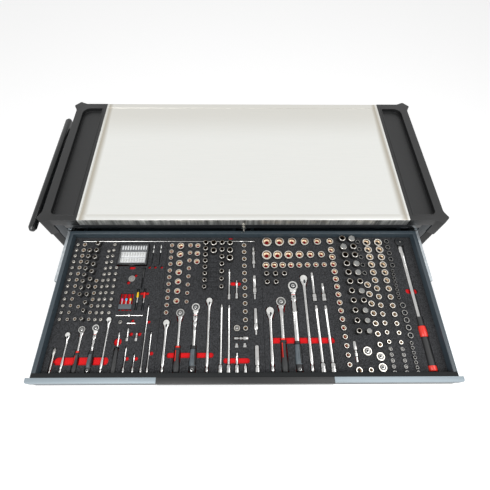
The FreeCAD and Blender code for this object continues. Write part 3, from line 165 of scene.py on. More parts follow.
def folded_stainless():
    """The worktop's folded edge, unground, with upright light and dark bands painted into its colour as a reflection of
    the tools below it.
    """
    made, tree, where = new_material("folded_stainless_edge")
    along = add(tree, "Mapping", {"Vector": where, "Scale": (42, 1, 3)}).outputs[0]
    painted_reflection_bands = add(tree, "TexNoise", {"Vector": along, "Scale": 1.0, "Detail": 4.0, "Roughness": 0.7}).outputs["Fac"]
    shade(tree, {
        "Base Color": ramp(tree, painted_reflection_bands, linear("#787875"), linear("#DCDCD7"), 0.38, 0.62),
        "Metallic": 0.7, "Roughness": spread(tree, painted_reflection_bands, 0.24, 0.40)})
    return made


def powder_coat(name, dark, light, rough, shine=0.5):
    """Sprayed and baked powder paint: a faint orange peel under an even satin gloss."""
    made, tree, where = new_material(name)
    # orange peel about 1.5 mm across
    peel = add(tree, "TexNoise", {"Vector": where, "Scale": 650.0, "Detail": 2.0}).outputs["Fac"]
    drift = add(tree, "TexNoise", {"Vector": where, "Scale": 4.0, "Detail": 4.0}).outputs["Fac"]
    grain = add(tree, "Bump", {"Height": peel, "Strength": 0.10, "Distance": 0.0003}).outputs[0]
    shade(tree, {
        "Base Color": ramp(tree, drift, linear(dark), linear(light)),
        "Roughness": spread(tree, peel, rough - 0.04, rough + 0.06), "IOR": 1.5, "Specular IOR Level": shine,
        "Normal": grain})
    return made


def anodised_aluminium(name, dark, light):
    """Extruded and anodised aluminium: die lines along the length and a silky sheen."""
    made, tree, where = new_material(name)
    # die lines 1 mm apart
    along = add(tree, "Mapping", {"Vector": where, "Scale": (3, 1000, 1000)}).outputs[0]
    lines = add(tree, "TexNoise", {"Vector": along, "Scale": 1.0, "Detail": 2.0}).outputs["Fac"]
    grain = add(tree, "Bump", {"Height": lines, "Strength": 0.08, "Distance": 0.0003}).outputs[0]
    shade(tree, {
        "Base Color": ramp(tree, lines, linear(dark), linear(light)),
        "Metallic": 0.55, "Roughness": spread(tree, lines, 0.46, 0.54), "Normal": grain})
    return made


def moulded_plastic(name, dark, light, rough, grain_mm, depth=0.35):
    """Injection moulded plastic with an etched grain that breaks up its highlights."""
    made, tree, where = new_material(name)
    leather = add(tree, "TexVoronoi", {"Vector": where, "Scale": 1000 / grain_mm}).outputs["Distance"]
    flow = add(tree, "TexNoise", {"Vector": where, "Scale": 9.0, "Detail": 3.0}).outputs["Fac"]
    grain = add(tree, "Bump", {"Height": leather, "Strength": depth, "Distance": 0.0003}).outputs[0]
    shade(tree, {
        "Base Color": ramp(tree, flow, linear(dark), linear(light)),
        "Roughness": spread(tree, leather, rough - 0.06, rough + 0.08), "IOR": 1.53, "Normal": grain})
    return made


def bare_metal(name, dark, light, rough, scale):
    """Plated or polished metal: clean reflections that cloud over in patches."""
    made, tree, where = new_material(name)
    patch = add(tree, "TexNoise", {"Vector": where, "Scale": scale, "Detail": 4.0}).outputs["Fac"]
    shade(tree, {
        "Base Color": ramp(tree, patch, linear(dark), linear(light)),
        "Metallic": 1.0, "Roughness": spread(tree, patch, rough, rough + 0.12)})
    return made


def foam(name, dark, light, speck_mm):
    """Closed cell EVA foam: a dry matt skin with pale cell walls showing as specks."""
    made, tree, where = new_material(name)
    # specks of cell wall, coarser than the real 0.5 mm so that they show
    cells = add(tree, "TexNoise", {"Vector": where, "Scale": 1000 / speck_mm, "Detail": 2.0, "Roughness": 0.8})
    cells = cells.outputs["Fac"]
    worn = add(tree, "TexNoise", {"Vector": where, "Scale": 7.0, "Detail": 3.0}).outputs["Fac"]
    both = add(tree, "Math", {0: cells, 1: spread(tree, worn, -0.05, 0.05)}, operation="ADD").outputs[0]
    grain = add(tree, "Bump", {"Height": cells, "Strength": 0.6, "Distance": 0.0008}).outputs[0]
    shade(tree, {
        "Base Color": ramp(tree, both, linear(dark), linear(light), 0.40, 0.66),
        "Roughness": 0.92, "IOR": 1.45, "Normal": grain})
    return made


def clear_plastic():
    """Clear polystyrene lid: thin, glossy and slightly smoky."""
    made, tree, where = new_material("clear_polystyrene")
    haze = add(tree, "TexNoise", {"Vector": where, "Scale": 40.0}).outputs["Fac"]
    shade(tree, {
        "Base Color": linear("#DDE1E4"), "Roughness": spread(tree, haze, 0.05, 0.12), "IOR": 1.57,
        "Alpha": 0.10})
    return made


steel_top = brushed_stainless()
steel_edge = folded_stainless()
body_paint = powder_coat("slate_powder_coat", "#303A41", "#3A454C", 0.34)
column_paint = powder_coat("gloss_slate_enamel", "#20262B", "#272E33", 0.12)
rail_paint = powder_coat("black_powder_coat", "#1D1F21", "#26282A", 0.30)
# painted shade: near black for the drawer box's front strip, which lies in shade beside the pull
front_strip_shade_paint = powder_coat("painted_shade_black_front_strip", "#141617", "#1C1E1F", 0.55, 0.15)
pull_metal = anodised_aluminium("silver_anodised_aluminium", "#838E95", "#949FA5")
grained_black = moulded_plastic("grained_black_abs", "#08090A", "#0D0E0F", 0.42, 1.4, 0.2)
smooth_black = moulded_plastic("smooth_black_nylon", "#121314", "#1B1C1D", 0.24, 2.5, 0.1)
zinc = bare_metal("zinc_plated_steel", "#A9B0B5", "#C6CCCF", 0.26, 60.0)
chrome = bare_metal("polished_chrome_vanadium", "#B2B2B1", "#C4C3C1", 0.10, 60.0)
worn_chrome = bare_metal("tumbled_chrome", "#8A8987", "#A3A19D", 0.26, 120.0)
rim_chrome = bare_metal("turned_chrome_rim", "#D6D1C8", "#E6E2DA", 0.18, 120.0)
satin_chrome = bare_metal("satin_chrome_cover", "#C8C8C5", "#D8D8D5", 0.30, 80.0)
cover_steel = bare_metal("ground_cover_steel", "#565655", "#6C6C6A", 0.30, 120.0)
grey_disc = moulded_plastic("grey_end_disc", "#747573", "#868785", 0.35, 2.0, 0.1)
# painted shade and a painted warm reflection: the bores' brown walls and the deep bores' darker brown
bore_shade_chrome = bare_metal("machined_bore_painted_shade", "#A48D73", "#C4B096", 0.34, 160.0)
deep_bore_shade = bare_metal("painted_shade_deep_bore", "#4E4033", "#6E5C4A", 0.40, 160.0)
# dark steel, also painted as the shade on the floors and in the grooves of socket bores
dark_steel_and_bore_shade = bare_metal("blackened_steel_and_painted_bore_shade", "#26282A", "#4A4C4E", 0.34, 200.0)
nickel = bare_metal("nickel_plated_brass", "#B9B6AE", "#CFCCC4", 0.18, 120.0)
black_foam = foam("black_eva_foam", "#101112", "#3F4043", 3.2)
red_foam = foam("red_eva_foam", "#C4070D", "#E8141B", 3.0)
red_shade = foam("red_eva_foam_in_a_bore", "#7C0A0D", "#A01014", 3.0)
chipboard = foam("raw_chipboard", "#A58A62", "#CDB489", 3.0)
red_plastic = moulded_plastic("red_polypropylene", "#D01A12", "#EE3A28", 0.3, 2.0, 0.15)
grey_rubber = moulded_plastic("grey_soft_grip", "#434B50", "#576066", 0.5, 1.2)
black_grip = moulded_plastic("black_soft_grip", "#101112", "#1A1B1D", 0.5, 1.2)
tyre_rubber = moulded_plastic("grey_tyre_rubber", "#2A2B2D", "#36383A", 0.6, 1.8)
wheel_core = moulded_plastic("grey_polypropylene_wheel", "#4A4D50", "#585B5E", 0.42, 2.0, 0.15)
yellow_plastic = moulded_plastic("yellow_celluloid", "#E2B800", "#F4CE16", 0.25, 2.0, 0.1)
blue_plastic = moulded_plastic("cyan_celluloid", "#0A9ED0", "#1FB6E6", 0.25, 2.0, 0.1)
pink_plastic = moulded_plastic("pink_celluloid", "#D8487E", "#EE6A9A", 0.25, 2.0, 0.1)
white_plastic = moulded_plastic("white_polystyrene", "#D9DADB", "#EDEEEE", 0.35, 2.0, 0.1)
clear_lid = clear_plastic()

BANK_DRAWERS = [f"{bank}_{row}_drawer" for bank in ("left", "right") for row in ("upper", "middle", "lower")]
NODE_FINISH = {
    steel_top: ["worktop_sheet"],
    body_paint: ["side_panel_left", "side_panel_right", "back_panel", "cross_rail", "centre_divider", "base_pan",
                 "top_drawer_box"] + [name + "_box" for name in BANK_DRAWERS],
    column_paint: ["side_frame_left", "side_frame_right"],
    rail_paint: ["top_frame"],
    pull_metal: ["top_drawer_pull"] + [name + "_pull" for name in BANK_DRAWERS],
    grained_black: ["end_cap_left", "end_cap_right", "corner_posts", "top_drawer_grip"],
    smooth_black: ["handle_tube", "handle_brackets", "bit_case"],
    zinc: ["handle_bolts", "cabinet_slides", "lock_guides", "fixed_caster_forks", "swivel_caster_plates", "lock_bar",
           "swivel_fork_front", "swivel_fork_back", "top_drawer_slides", "top_drawer_middle_slides"]
    + [name + "_middle_slides" for name in BANK_DRAWERS],
    chrome: ["ratchets", "extension_bars", "torque_wrench"],
    nickel: ["lock_barrel", "lock_cylinder", "key"],
    black_foam: ["foam_top"],
    red_foam: ["foam_base"],
    chipboard: ["worktop_board"],
    tyre_rubber: ["swivel_wheel_front", "swivel_wheel_back", "fixed_wheel_front", "fixed_wheel_back"],
}
for material, names in NODE_FINISH.items():
    for name in names:
        nodes[name].data.materials.clear()
        nodes[name].data.materials.append(material)


# Modelling helpers

def deselect():
    bpy.ops.object.select_all(action="DESELECT")


def pick(piece, test):
    """Selects the faces whose middle and normal pass a test, in edit mode."""
    mesh = bmesh.from_edit_mesh(piece.data)
    bpy.ops.mesh.select_mode(type="FACE")
    for face in mesh.faces:
        face.select_set(bool(test(face.calc_center_median(), face.normal)))
    mesh.select_flush_mode()
    bmesh.update_edit_mesh(piece.data)


def edit(piece):
    """Opens one piece for editing with nothing else selected."""
    deselect()
    bpy.context.view_layer.objects.active = piece
    piece.select_set(True)
    bpy.ops.object.mode_set(mode="EDIT")
    bpy.ops.mesh.select_all(action="SELECT")


def close():
    bpy.ops.object.mode_set(mode="OBJECT")


def smooth(piece, degrees=35):
    """Smooth shading with edges kept where faces meet at more than an angle."""
    deselect()
    bpy.context.view_layer.objects.active = piece
    piece.select_set(True)
    bpy.ops.object.shade_smooth_by_angle(angle=math.radians(degrees))


def bevel(piece, width, segments=2, degrees=35):
    """Rounds a piece's edges by a width in mm and applies it."""
    deselect()
    bpy.context.view_layer.objects.active = piece
    piece.select_set(True)
    rounding = piece.modifiers.new("Rounded edges", "BEVEL")
    rounding.width = width / 1000
    rounding.segments = segments
    rounding.limit_method = "ANGLE"
    rounding.angle_limit = math.radians(degrees)
    bpy.ops.object.modifier_apply(modifier=rounding.name)


def paint(piece, *materials):
    piece.data.materials.clear()
    for material in materials:
        piece.data.materials.append(material)


def refined(node, width, material, segments=2, degrees=35):
    """A copy of a CAD node with its edges rounded, shown in place of it."""
    deselect()
    piece = nodes[node].copy()
    piece.data = nodes[node].data.copy()
    piece.parent = None
    for key in list(piece.keys()):
        del piece[key]
    piece.name = node + "_finished"
    bpy.context.scene.collection.objects.link(piece)
    edit(piece)
    bpy.ops.mesh.remove_doubles(threshold=0.00001)
    bpy.ops.mesh.dissolve_limited(angle_limit=math.radians(2))
    close()
    bevel(piece, width, segments, degrees)
    smooth(piece)
    paint(piece, material)
    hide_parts(node)
    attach(piece, body_of[node])
    return piece


def drawn(name, stations, sides=16, along="Y"):
    """A bar drawn out from section to section: (place, half size across, half size in the third direction).

    Along X the two are y and z, along Y x and z, along Z x and y. One half size makes a round section.
    """
    deselect()
    stations = [(entry[0], entry[1], entry[-1]) for entry in stations]
    tilt = {"X": (0, math.pi / 2, 0), "Y": (math.pi / 2, 0, 0), "Z": (0, 0, 0)}[along]
    bpy.ops.mesh.primitive_circle_add(vertices=sides, radius=0.001, fill_type="NGON", rotation=tilt)
    piece = bpy.context.object
    piece.name = name
    bpy.ops.object.transform_apply(location=True, rotation=True, scale=True)
    spin = Matrix.Rotation(math.pi / sides, 4, along)
    piece.data.transform(spin)

    def on_axis(length, across, up):
        return {"X": (length, across, up), "Y": (across, length, up), "Z": (across, up, length)}[along]

    edit(piece)
    spot, across, up = stations[0]
    bpy.ops.transform.resize(value=on_axis(1, across, up))
    bpy.ops.transform.translate(value=on_axis(spot / 1000, 0, 0))
    for next_spot, next_across, next_up in stations[1:]:
        bpy.ops.mesh.extrude_region_move(TRANSFORM_OT_translate={"value": on_axis((next_spot - spot) / 1000, 0, 0)})
        bpy.ops.transform.resize(value=on_axis(1, next_across / across, next_up / up),
                                 center_override=on_axis(next_spot / 1000, 0, 0))
        spot, across, up = next_spot, next_across, next_up
    bpy.ops.mesh.select_all(action="SELECT")
    bpy.ops.mesh.normals_make_consistent(inside=False)
    close()
    return piece


def block(name, x, y, z):
    """A block between low and high mm on each axis."""
    deselect()
    middle = [(low + high) / 2000 for low, high in (x, y, z)]
    size = [(high - low) / 1000 for low, high in (x, y, z)]
    bpy.ops.mesh.primitive_cube_add(size=1, location=middle, scale=size)
    piece = bpy.context.object
    piece.name = name
    bpy.ops.object.transform_apply(location=True, rotation=True, scale=True)
    return piece


def join(name, pieces):
    """Joins pieces into one object that keeps their materials."""
    deselect()
    for piece in pieces:
        piece.select_set(True)
    bpy.context.view_layer.objects.active = pieces[0]
    bpy.ops.object.join()
    joined = bpy.context.object
    joined.name = name
    return joined


def copies(source, name, matrices):
    """One piece made of a shape's copies, each with its own mesh, at the given matrices."""
    made = []
    for matrix in matrices:
        one = source.copy()
        one.data = source.data.copy()
        one.data.transform(matrix)
        bpy.context.scene.collection.objects.link(one)
        made.append(one)
    joined = join(name, made)
    return joined


def copies_as_one(name, pieces):
    """One piece made of copies of several pieces, which stay as they are."""
    made = []
    for piece in pieces:
        one = piece.copy()
        one.data = piece.data.copy()
        bpy.context.scene.collection.objects.link(one)
        made.append(one)
    return join(name, made)


def drop(piece):
    bpy.data.objects.remove(piece)


def moved(piece, x, y, z, turn=0.0):
    """Moves a piece's mesh to a place in mm, turned about the vertical."""
    piece.data.transform(Matrix.Translation(place(x, y, z)) @ Matrix.Rotation(turn, 4, "Z"))
    return piece


def finished(piece, material, degrees=35):
    """Paints and smooths a part of a tool before it is joined."""
    paint(piece, material)
    smooth(piece, degrees)
    return piece


def settle(piece, body=DRAWER, stands_for=()):
    """Lets a finished piece ride on its body."""
    if stands_for:
        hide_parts(*stands_for)
    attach(piece, body)
    return piece


def carve(piece, cutter, solver="MANIFOLD"):
    """Cuts one piece out of another and drops the cutter."""
    deselect()
    bpy.context.view_layer.objects.active = piece
    piece.select_set(True)
    opening = piece.modifiers.new("Opening", "BOOLEAN")
    opening.object = cutter
    opening.solver = solver
    bpy.ops.object.modifier_apply(modifier=opening.name)
    drop(cutter)


# Carcase, worktop and drawer: the CAD shapes with rounded edges

sheet = refined("worktop_sheet", 1.2, steel_top, 3)
sheet.data.materials.append(steel_edge)
# the worktop's front face takes the folded edge's material with its painted reflection bands
for face in sheet.data.polygons:
    if face.normal.y < -0.9 and face.center.z < place(0, 0, 1048).z:
        face.material_index = 1
for side in ("left", "right"):
    refined(f"end_cap_{side}", 2.4, grained_black, 4)
refined("corner_posts", 0.8, grained_black)
refined("handle_tube", 0.5, smooth_black)
refined("handle_brackets", 1.2, smooth_black)
refined("top_drawer_pull", 0.8, pull_metal, 3)
refined("top_drawer_grip", 1.2, grained_black, 3)
drawer = refined("top_drawer_box", 0.7, body_paint)
drawer.data.materials.append(front_strip_shade_paint)
edit(drawer)
bpy.ops.mesh.bisect(plane_co=place(0, -541, 0), plane_no=(0, 1, 0))
close()
# the drawer box's faces in front of the cut take the near black painted shade
for face in drawer.data.polygons:
    if face.center.y < place(0, -541, 0).y:
        face.material_index = 1
refined("top_frame", 0.6, rail_paint)
for side in ("left", "right"):
    refined(f"side_frame_{side}", 0.6, column_paint)
    refined(f"side_panel_{side}", 0.6, body_paint)


# Casters: rubber tyre round a plastic wheel, and a brake pedal on each swivelling fork

TYRE_INSIDE = 0.046
for wheel in ("swivel_wheel_front", "swivel_wheel_back", "fixed_wheel_front", "fixed_wheel_back"):
    low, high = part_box(wheel)
    axle = (Vector(low) + Vector(high)) / 2
    rolling = refined(wheel, 0.8, tyre_rubber, 2, 50)
    rolling.data.materials.append(wheel_core)
    points = [Vector((point.co.x - axle.x, 0, point.co.z - axle.z)).length for point in rolling.data.vertices]
    for face in rolling.data.polygons:
        if min(points[corner] for corner in face.vertices) < TYRE_INSIDE:
            face.material_index = 1
for fork in ("swivel_fork_front", "swivel_fork_back"):
    refined(fork, 0.6, zinc)
    tread = [Vector(corner) * 1000 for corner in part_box(fork.replace("fork", "wheel"))]
    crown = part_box(fork)[1][2] * 1000 - 16
    middle = (tread[0].y + tread[1].y) / 2
    pedal = block("brake_pedal", (tread[0].x + 1, tread[0].x + 64), (middle - 17, middle + 17),
                  (tread[1].z + 5, tread[1].z + 10))
    edit(pedal)
    pick(pedal, lambda centre, normal: normal.z > 0.99)
    bpy.ops.mesh.inset(thickness=0.004)
    bpy.ops.mesh.extrude_region_move(TRANSFORM_OT_translate={"value": (0, 0, 0.0015)})
    close()
    bevel(pedal, 1.2, 2)
    arm = block("brake_arm", (tread[0].x + 62, tread[0].x + 74), (middle - 9, middle + 9), (tread[1].z + 6, crown))
    bevel(arm, 1, 2)
    brake = join(fork.replace("fork", "brake"), [finished(pedal, red_plastic), finished(arm, zinc)])
    settle(brake, body_of[fork])


# Sockets, in rows along the drawer

# kind, count, first place, last place, first and last outer radius
SOCKET_ROWS = [
    ("bit", 13, (-654, -60), (-651, -360), 6.2, 5.2), ("plain", 13, (-626, -60), (-623, -360), 8.4, 5.4),
    ("deep", 8, (-597, -91), (-595, -271), 8.0, 6.4), ("plain", 2, (-595, -314), (-597, -359), 6.2, 5.8),
    ("deep", 11, (-571, -60), (-569, -361), 9.0, 5.8), ("plain", 7, (-550, -214), (-548, -360), 7.2, 5.8),
    ("bit", 12, (-527, -89), (-526, -361), 5.8, 5.6), ("bit", 13, (-509, -60), (-506, -361), 5.9, 5.6),
    ("bit", 8, (-485, -160), (-482, -336), 5.7, 5.7), ("short", 11, (-283, -64), (-279, -336), 8.6, 8.2),
    ("short", 7, (-248, -67), (-246, -293), 14.0, 11.4), ("short", 8, (-210, -64), (-209, -296), 9.5, 7.2),
    ("short", 3, (-181, -65), (-181, -135), 10.6, 12.0), ("deep", 8, (-149, -57), (-147, -242), 10.0, 7.4),
    ("deep", 2, (-118, -58), (-117, -92), 12.2, 12.2), ("deep", 7, (-85, -57), (-84, -242), 10.4, 7.4),
    ("deep", 3, (-54, -58), (-54, -124), 11.0, 12.8), ("plain", 12, (1, -64), (3, -393), 9.3, 8.6),
    ("short", 6, (92, -48), (343, -47), 20.1, 14.0), ("short", 6, (89, -107), (302, -105), 19.7, 14.0),
    ("short", 8, (84, -152), (308, -149), 14.1, 10.4), ("deep", 3, (84, -190), (151, -190), 9.5, 9.5),
    ("deep", 2, (85, -224), (118, -224), 8.7, 8.7), ("short", 15, (343, -86), (347, -515), 13.6, 7.8),
    ("deep", 11, (391, -38), (394, -406), 13.2, 9.3), ("capped", 11, (429, -38), (430, -406), 13.2, 8.9),
    ("dark", 5, (455, -48), (458, -183), 9.0, 8.6), ("plain", 13, (489, -51), (494, -441), 16.5, 6.9),
    ("dim", 5, (495, -464), (493, -540), 6.5, 6.3), ("plain", 13, (535, -51), (535, -443), 16.5, 6.9),
    ("dim", 5, (536, -465), (533, -540), 6.5, 6.3), ("plain", 7, (459, -232), (461, -450), 12.9, 8.8),
    ("dark", 5, (570, -46), (571, -151), 9.5, 9.2), ("dark", 8, (567, -174), (566, -282), 6.1, 5.9),
    ("dark", 5, (573, -311), (574, -419), 10.2, 9.8), ("dark", 7, (571, -445), (570, -540), 5.9, 5.7),
]

# kind: height of its top over the foam, then its section from the foot up over the rim and down the bore, as height
# and radius in parts of its own, with the material of each step
SOCKET_KINDS = {
    "short": (7.0, [(0, 0.94), (0.90, 1.0, "c"), (1.0, 0.93, "m"), (1.0, 0.74, "m"), (0.74, 0.70, "b"),
                    (0.66, 0.46, "b"), (0.48, 0.44, "r")]),
    "plain": (7.0, [(0, 0.94), (0.90, 1.0, "c"), (1.0, 0.93, "m"), (1.0, 0.72, "m"), (0.74, 0.68, "b"),
                    (0.62, 0.44, "b"), (0.40, 0.42, "k")]),
    "wide": (9.0, [(0, 0.80), (0.45, 0.82, "c"), (0.55, 1.0, "c"), (0.92, 1.0, "c"), (1.0, 0.93, "m"),
                   (1.0, 0.76, "m"), (0.66, 0.70, "b"), (0.56, 0.40, "b"), (0.28, 0.38, "r")]),
    "deep": (20.0, [(0, 0.95), (0.95, 1.0, "w"), (1.0, 0.92, "w"), (1.0, 0.80, "m"), (0.86, 0.76, "b"),
                    (0.62, 0.60, "n"), (0.30, 0.56, "k")]),
    "capped": (18.0, [(0, 0.95), (0.94, 1.0, "w"), (1.0, 0.92, "m"), (1.0, 0.80, "w"), (0.97, 0.76, "k"),
                      (0.97, 0.68, "g"), (0.99, 0.3, "g")]),
    "bit": (6.0, [(0, 0.92), (0.92, 1.0, "w"), (1.0, 0.94, "m"), (1.0, 0.72, "m"), (0.76, 0.68, "k"),
                  (0.76, 0.48, "k"), (0.97, 0.40, "w"), (1.0, 0.20, "m"), (0.94, 0.12, "k")]),
    "disc": (5.0, [(0, 0.92), (0.90, 1.0, "w"), (1.0, 0.95, "m"), (1.0, 0.78, "m"), (0.80, 0.74, "w"),
                   (0.70, 0.44, "w"), (0.98, 0.38, "c"), (1.0, 0.24, "c"), (0.80, 0.18, "k")]),
    "dim": (4.0, [(0, 0.92), (0.90, 1.0, "w"), (1.0, 0.94, "w"), (1.0, 0.76, "w"), (0.76, 0.70, "k"),
                  (0.76, 0.46, "k"), (0.97, 0.38, "w"), (1.0, 0.18, "w")]),
    "dark": (5.0, [(0, 0.92), (0.90, 1.0, "k"), (1.0, 0.94, "w"), (1.0, 0.80, "w"), (0.60, 0.74, "k"),
                   (0.40, 0.40, "k")]),
}
# in the bores, the brown walls, the darker red, and the dark steel on their floors and in their grooves are painted
# shade; the brown is a painted warm reflection too
SECTION_FINISH = {"c": chrome, "m": rim_chrome, "b": bore_shade_chrome, "r": red_shade, "k": dark_steel_and_bore_shade,
                  "w": worn_chrome, "g": grey_disc, "n": deep_bore_shade}


def socket_shape(kind, sides):
    """One socket, 1 mm in radius and 1 mm high, standing on z = 0."""
    section = SOCKET_KINDS[kind][1]
    piece = drawn("socket_" + kind, [entry[:2] for entry in section], sides, "Z")
    finishes = sorted({entry[2] for entry in section[1:]})
    paint(piece, *(SECTION_FINISH[letter] for letter in finishes))
    rings = [((a[0] + b[0]) / 2000, (a[1] + b[1]) / 2000, b[2]) for a, b in zip(section, section[1:])]
    rings.append((section[-1][0] / 1000, 0, section[-1][2]))
    rings.append((0, 0, section[1][2]))
    for face in piece.data.polygons:
        middle = face.center
        nearest = min(rings, key=lambda ring: abs(ring[0] - middle.z) + abs(ring[1] - middle.xy.length))
        face.material_index = finishes.index(nearest[2])
    smooth(piece, 40)
    return piece


def row_places(row):
    """Place and radius of each socket in a row."""
    kind, count, first, last, first_radius, last_radius = row
    for number in range(count):
        part = number / max(count - 1, 1)
        x = first[0] + (last[0] - first[0]) * part
        y = first[1] + (last[1] - first[1]) * part
        yield x, y, first_radius + (last_radius - first_radius) * part


LOOSE_SOCKETS = [
    # kind, x, y, radius of the sockets that lie outside the rows
    ("disc", -27, -392, 11), ("disc", 415, -471, 15), ("plain", 376, -533, 11), ("plain", 415, -532, 8),
    ("disc", 456, -489, 14), ("disc", 456, -524, 14), ("disc", -436, -370, 6),
]
# the two columns of long sockets, from the back: some stand with their drive end up
LONG_COLUMNS = {391: "deep capped deep deep deep deep deep deep deep deep deep",
                429: "capped deep deep capped capped deep capped deep capped capped capped"}
sockets = []
for row in SOCKET_ROWS:
    kinds = LONG_COLUMNS.get(row[2][0], " ".join([row[0]] * row[1])).split()
    sockets += [(kind, *spot) for kind, spot in zip(kinds, row_places(row))]
sockets += LOOSE_SOCKETS
sockets = [("wide" if kind == "short" and radius > 13 else kind, x, y, radius) for kind, x, y, radius in sockets]
for kind, (proud, section) in SOCKET_KINDS.items():
    shape = socket_shape(kind, 20 if kind == "wide" else 14 if kind in ("short", "plain") else 12)
    height = FOAM_TOP + proud - POCKET_FLOOR
    matrices = [
        Matrix.Translation(place(x, y, POCKET_FLOOR)) @ Matrix.Rotation(number * 0.61, 4, "Z")
        @ Matrix.Diagonal((radius, radius, height, 1))
        for number, (own, x, y, radius) in enumerate(sockets) if own == kind]
    settle(copies(shape, kind + "_sockets", matrices))
    drop(shape)


# Ratchets: pear headed, round headed with a black grip, and jointed with a grey grip

RATCHETS = [
    # style, x, y of the head, length, head radius, grip radius, grip length, handle radius
    ("pear", -610, -413, 135, 10, 5, 40, 3.5), ("black", -566, -395, 155, 12, 9, 66, 4),
    ("grey", -519, -389, 160, 11, 10, 66, 4), ("pear", -478, -360, 188, 10, 5, 40, 3.5),
    ("pear", -275, -372, 179, 13, 6, 60, 5), ("black", -229, -336, 217, 15, 12, 82, 5),
    ("grey", -175, -315, 237, 14, 12, 82, 5), ("pear", -127, -291, 260, 13, 6, 60, 5),
    ("pear", 92, -329, 225, 16, 7, 70, 6), ("black", 133, -295, 261, 18, 12, 106, 7),
    ("grey", 181, -233, 322, 17, 12, 96, 8), ("pear", 224, -204, 350, 16, 7, 80, 6),
]


def head_plate(name, radius, top, rim=0.80, face=None):
    """The geared head's cover: a ring, a groove and a hub with its button."""
    r = radius
    ring = drawn(name + "_ring", [(top - 14, r * 0.92), (top - 12, r), (top - 1.5, r), (top, r * 0.93),
                                  (top, r * rim), (top - 1.6, r * (rim - 0.04)), (top - 1.6, r * 0.30)], 24, "Z")
    groove = drawn(name + "_groove", [(top - 1.7, r * (rim - 0.05)), (top - 1.2, r * (rim - 0.08)),
                                      (top - 1.2, r * 0.2)], 24, "Z")
    hub = drawn(name + "_hub", [(top - 2, r * 0.36), (top - 0.4, r * 0.34), (top, r * 0.28), (top, r * 0.14)], 16, "Z")
    button = drawn(name + "_button", [(top - 1, r * 0.15), (top + 0.5, r * 0.14), (top + 0.7, r * 0.06)], 10, "Z")
    return [finished(ring, satin_chrome, 40), finished(groove, face or dark_steel_and_bore_shade, 40), finished(hub, chrome, 40),
            finished(button, dark_steel_and_bore_shade, 40)]


def pear_ratchet(name, head, length, grip, hold, shank):
    """A chrome ratchet forged in one piece, with a flat oval cover and a small lever."""
    tail, thick = head - length, 6 + head * 0.12
    forging = drawn(name, [
        (head, head * 0.24, thick * 0.5), (head * 0.92, head * 0.48, thick * 0.8), (head * 0.7, head * 0.74, thick),
        (head * 0.35, head * 0.94, thick), (0, head, thick), (-head * 0.5, head * 0.92, thick),
        (-head * 1.1, head * 0.66, thick * 0.95), (-head * 1.8, head * 0.42, thick * 0.8),
        (-head * 2.6, shank * 1.15, shank), (-head * 3.4, shank, shank * 0.8),
        (tail + hold * 1.3, shank * 0.95, shank * 0.75), (tail + hold, grip * 0.9, grip * 0.7),
        (tail + hold * 0.7, grip, grip * 0.8), (tail + hold * 0.4, grip * 0.95, grip * 0.75),
        (tail + hold * 0.33, grip * 0.62, grip * 0.6), (tail + hold * 0.27, grip * 0.62, grip * 0.6),
        (tail + hold * 0.24, grip * 0.85, grip * 0.75), (tail + 3, grip * 0.8, grip * 0.7),
        (tail, grip * 0.5, grip * 0.4)], 16)
    cover = drawn(name + "_cover", [(0, head * 0.86), (thick + 0.2, head * 0.84), (thick + 0.9, head * 0.79),
                                    (thick + 0.9, head * 0.3)], 24, "Z")
    lever = drawn(name + "_lever", [(-head * 0.34, head * 0.10, 1.5), (-head * 0.5, head * 0.24, 2.6),
                                    (-head * 0.85, head * 0.26, 2.8), (-head * 1.25, head * 0.10, 1.6)], 10)
    lever.data.transform(Matrix.Translation((0.0001 * head, 0, (thick - 0.5) / 1000)))
    return [finished(forging, chrome), finished(cover, satin_chrome, 40), finished(lever, dark_steel_and_bore_shade)]


def black_ratchet(name, head, length, grip, hold, shank):
    """A round headed ratchet with a red collar and a waisted black grip with a red inlay."""
    tail = head - length
    neck = drawn(name, [
        (-head * 0.4, head * 0.72, 5), (-head * 1.1, head * 0.60, 5), (-head * 1.7, head * 0.40, 4.5),
        (-head * 2.4, shank * 1.2, shank), (-head * 3.2, shank, shank * 0.85), (tail + hold, shank, shank * 0.85)], 16)
    collar = drawn(name + "_collar", [(tail + hold + 5, shank * 1.2), (tail + hold + 4, grip * 0.66),
                                      (tail + hold, grip * 0.68), (tail + hold - 1, grip * 0.6)], 16)
    sleeve = [(tail + hold, 0.62), (tail + hold - 3, 0.92), (tail + hold - 8, 0.96), (tail + hold - 10, 0.78),
              (tail + hold * 0.66, 0.66), (tail + hold * 0.45, 0.80), (tail + hold * 0.25, 1.0), (tail + hold * 0.1, 0.98), (tail + 2, 0.84),
              (tail, 0.5)]
    body = drawn(name + "_grip", [(spot, grip * part, grip * part * 0.85) for spot, part in sleeve], 16)
    inlay = drawn(name + "_inlay", [(spot, grip * part * 0.26, grip * part * 0.80) for spot, part in sleeve[3:6]], 12)
    inlay.data.transform(Matrix.Translation((-0.0004 * grip, 0, 0.00012 * grip)))
    return head_plate(name, head, 7, 0.84, cover_steel) + [
        finished(neck, chrome), finished(collar, red_plastic), finished(body, black_grip), finished(inlay, red_plastic)]


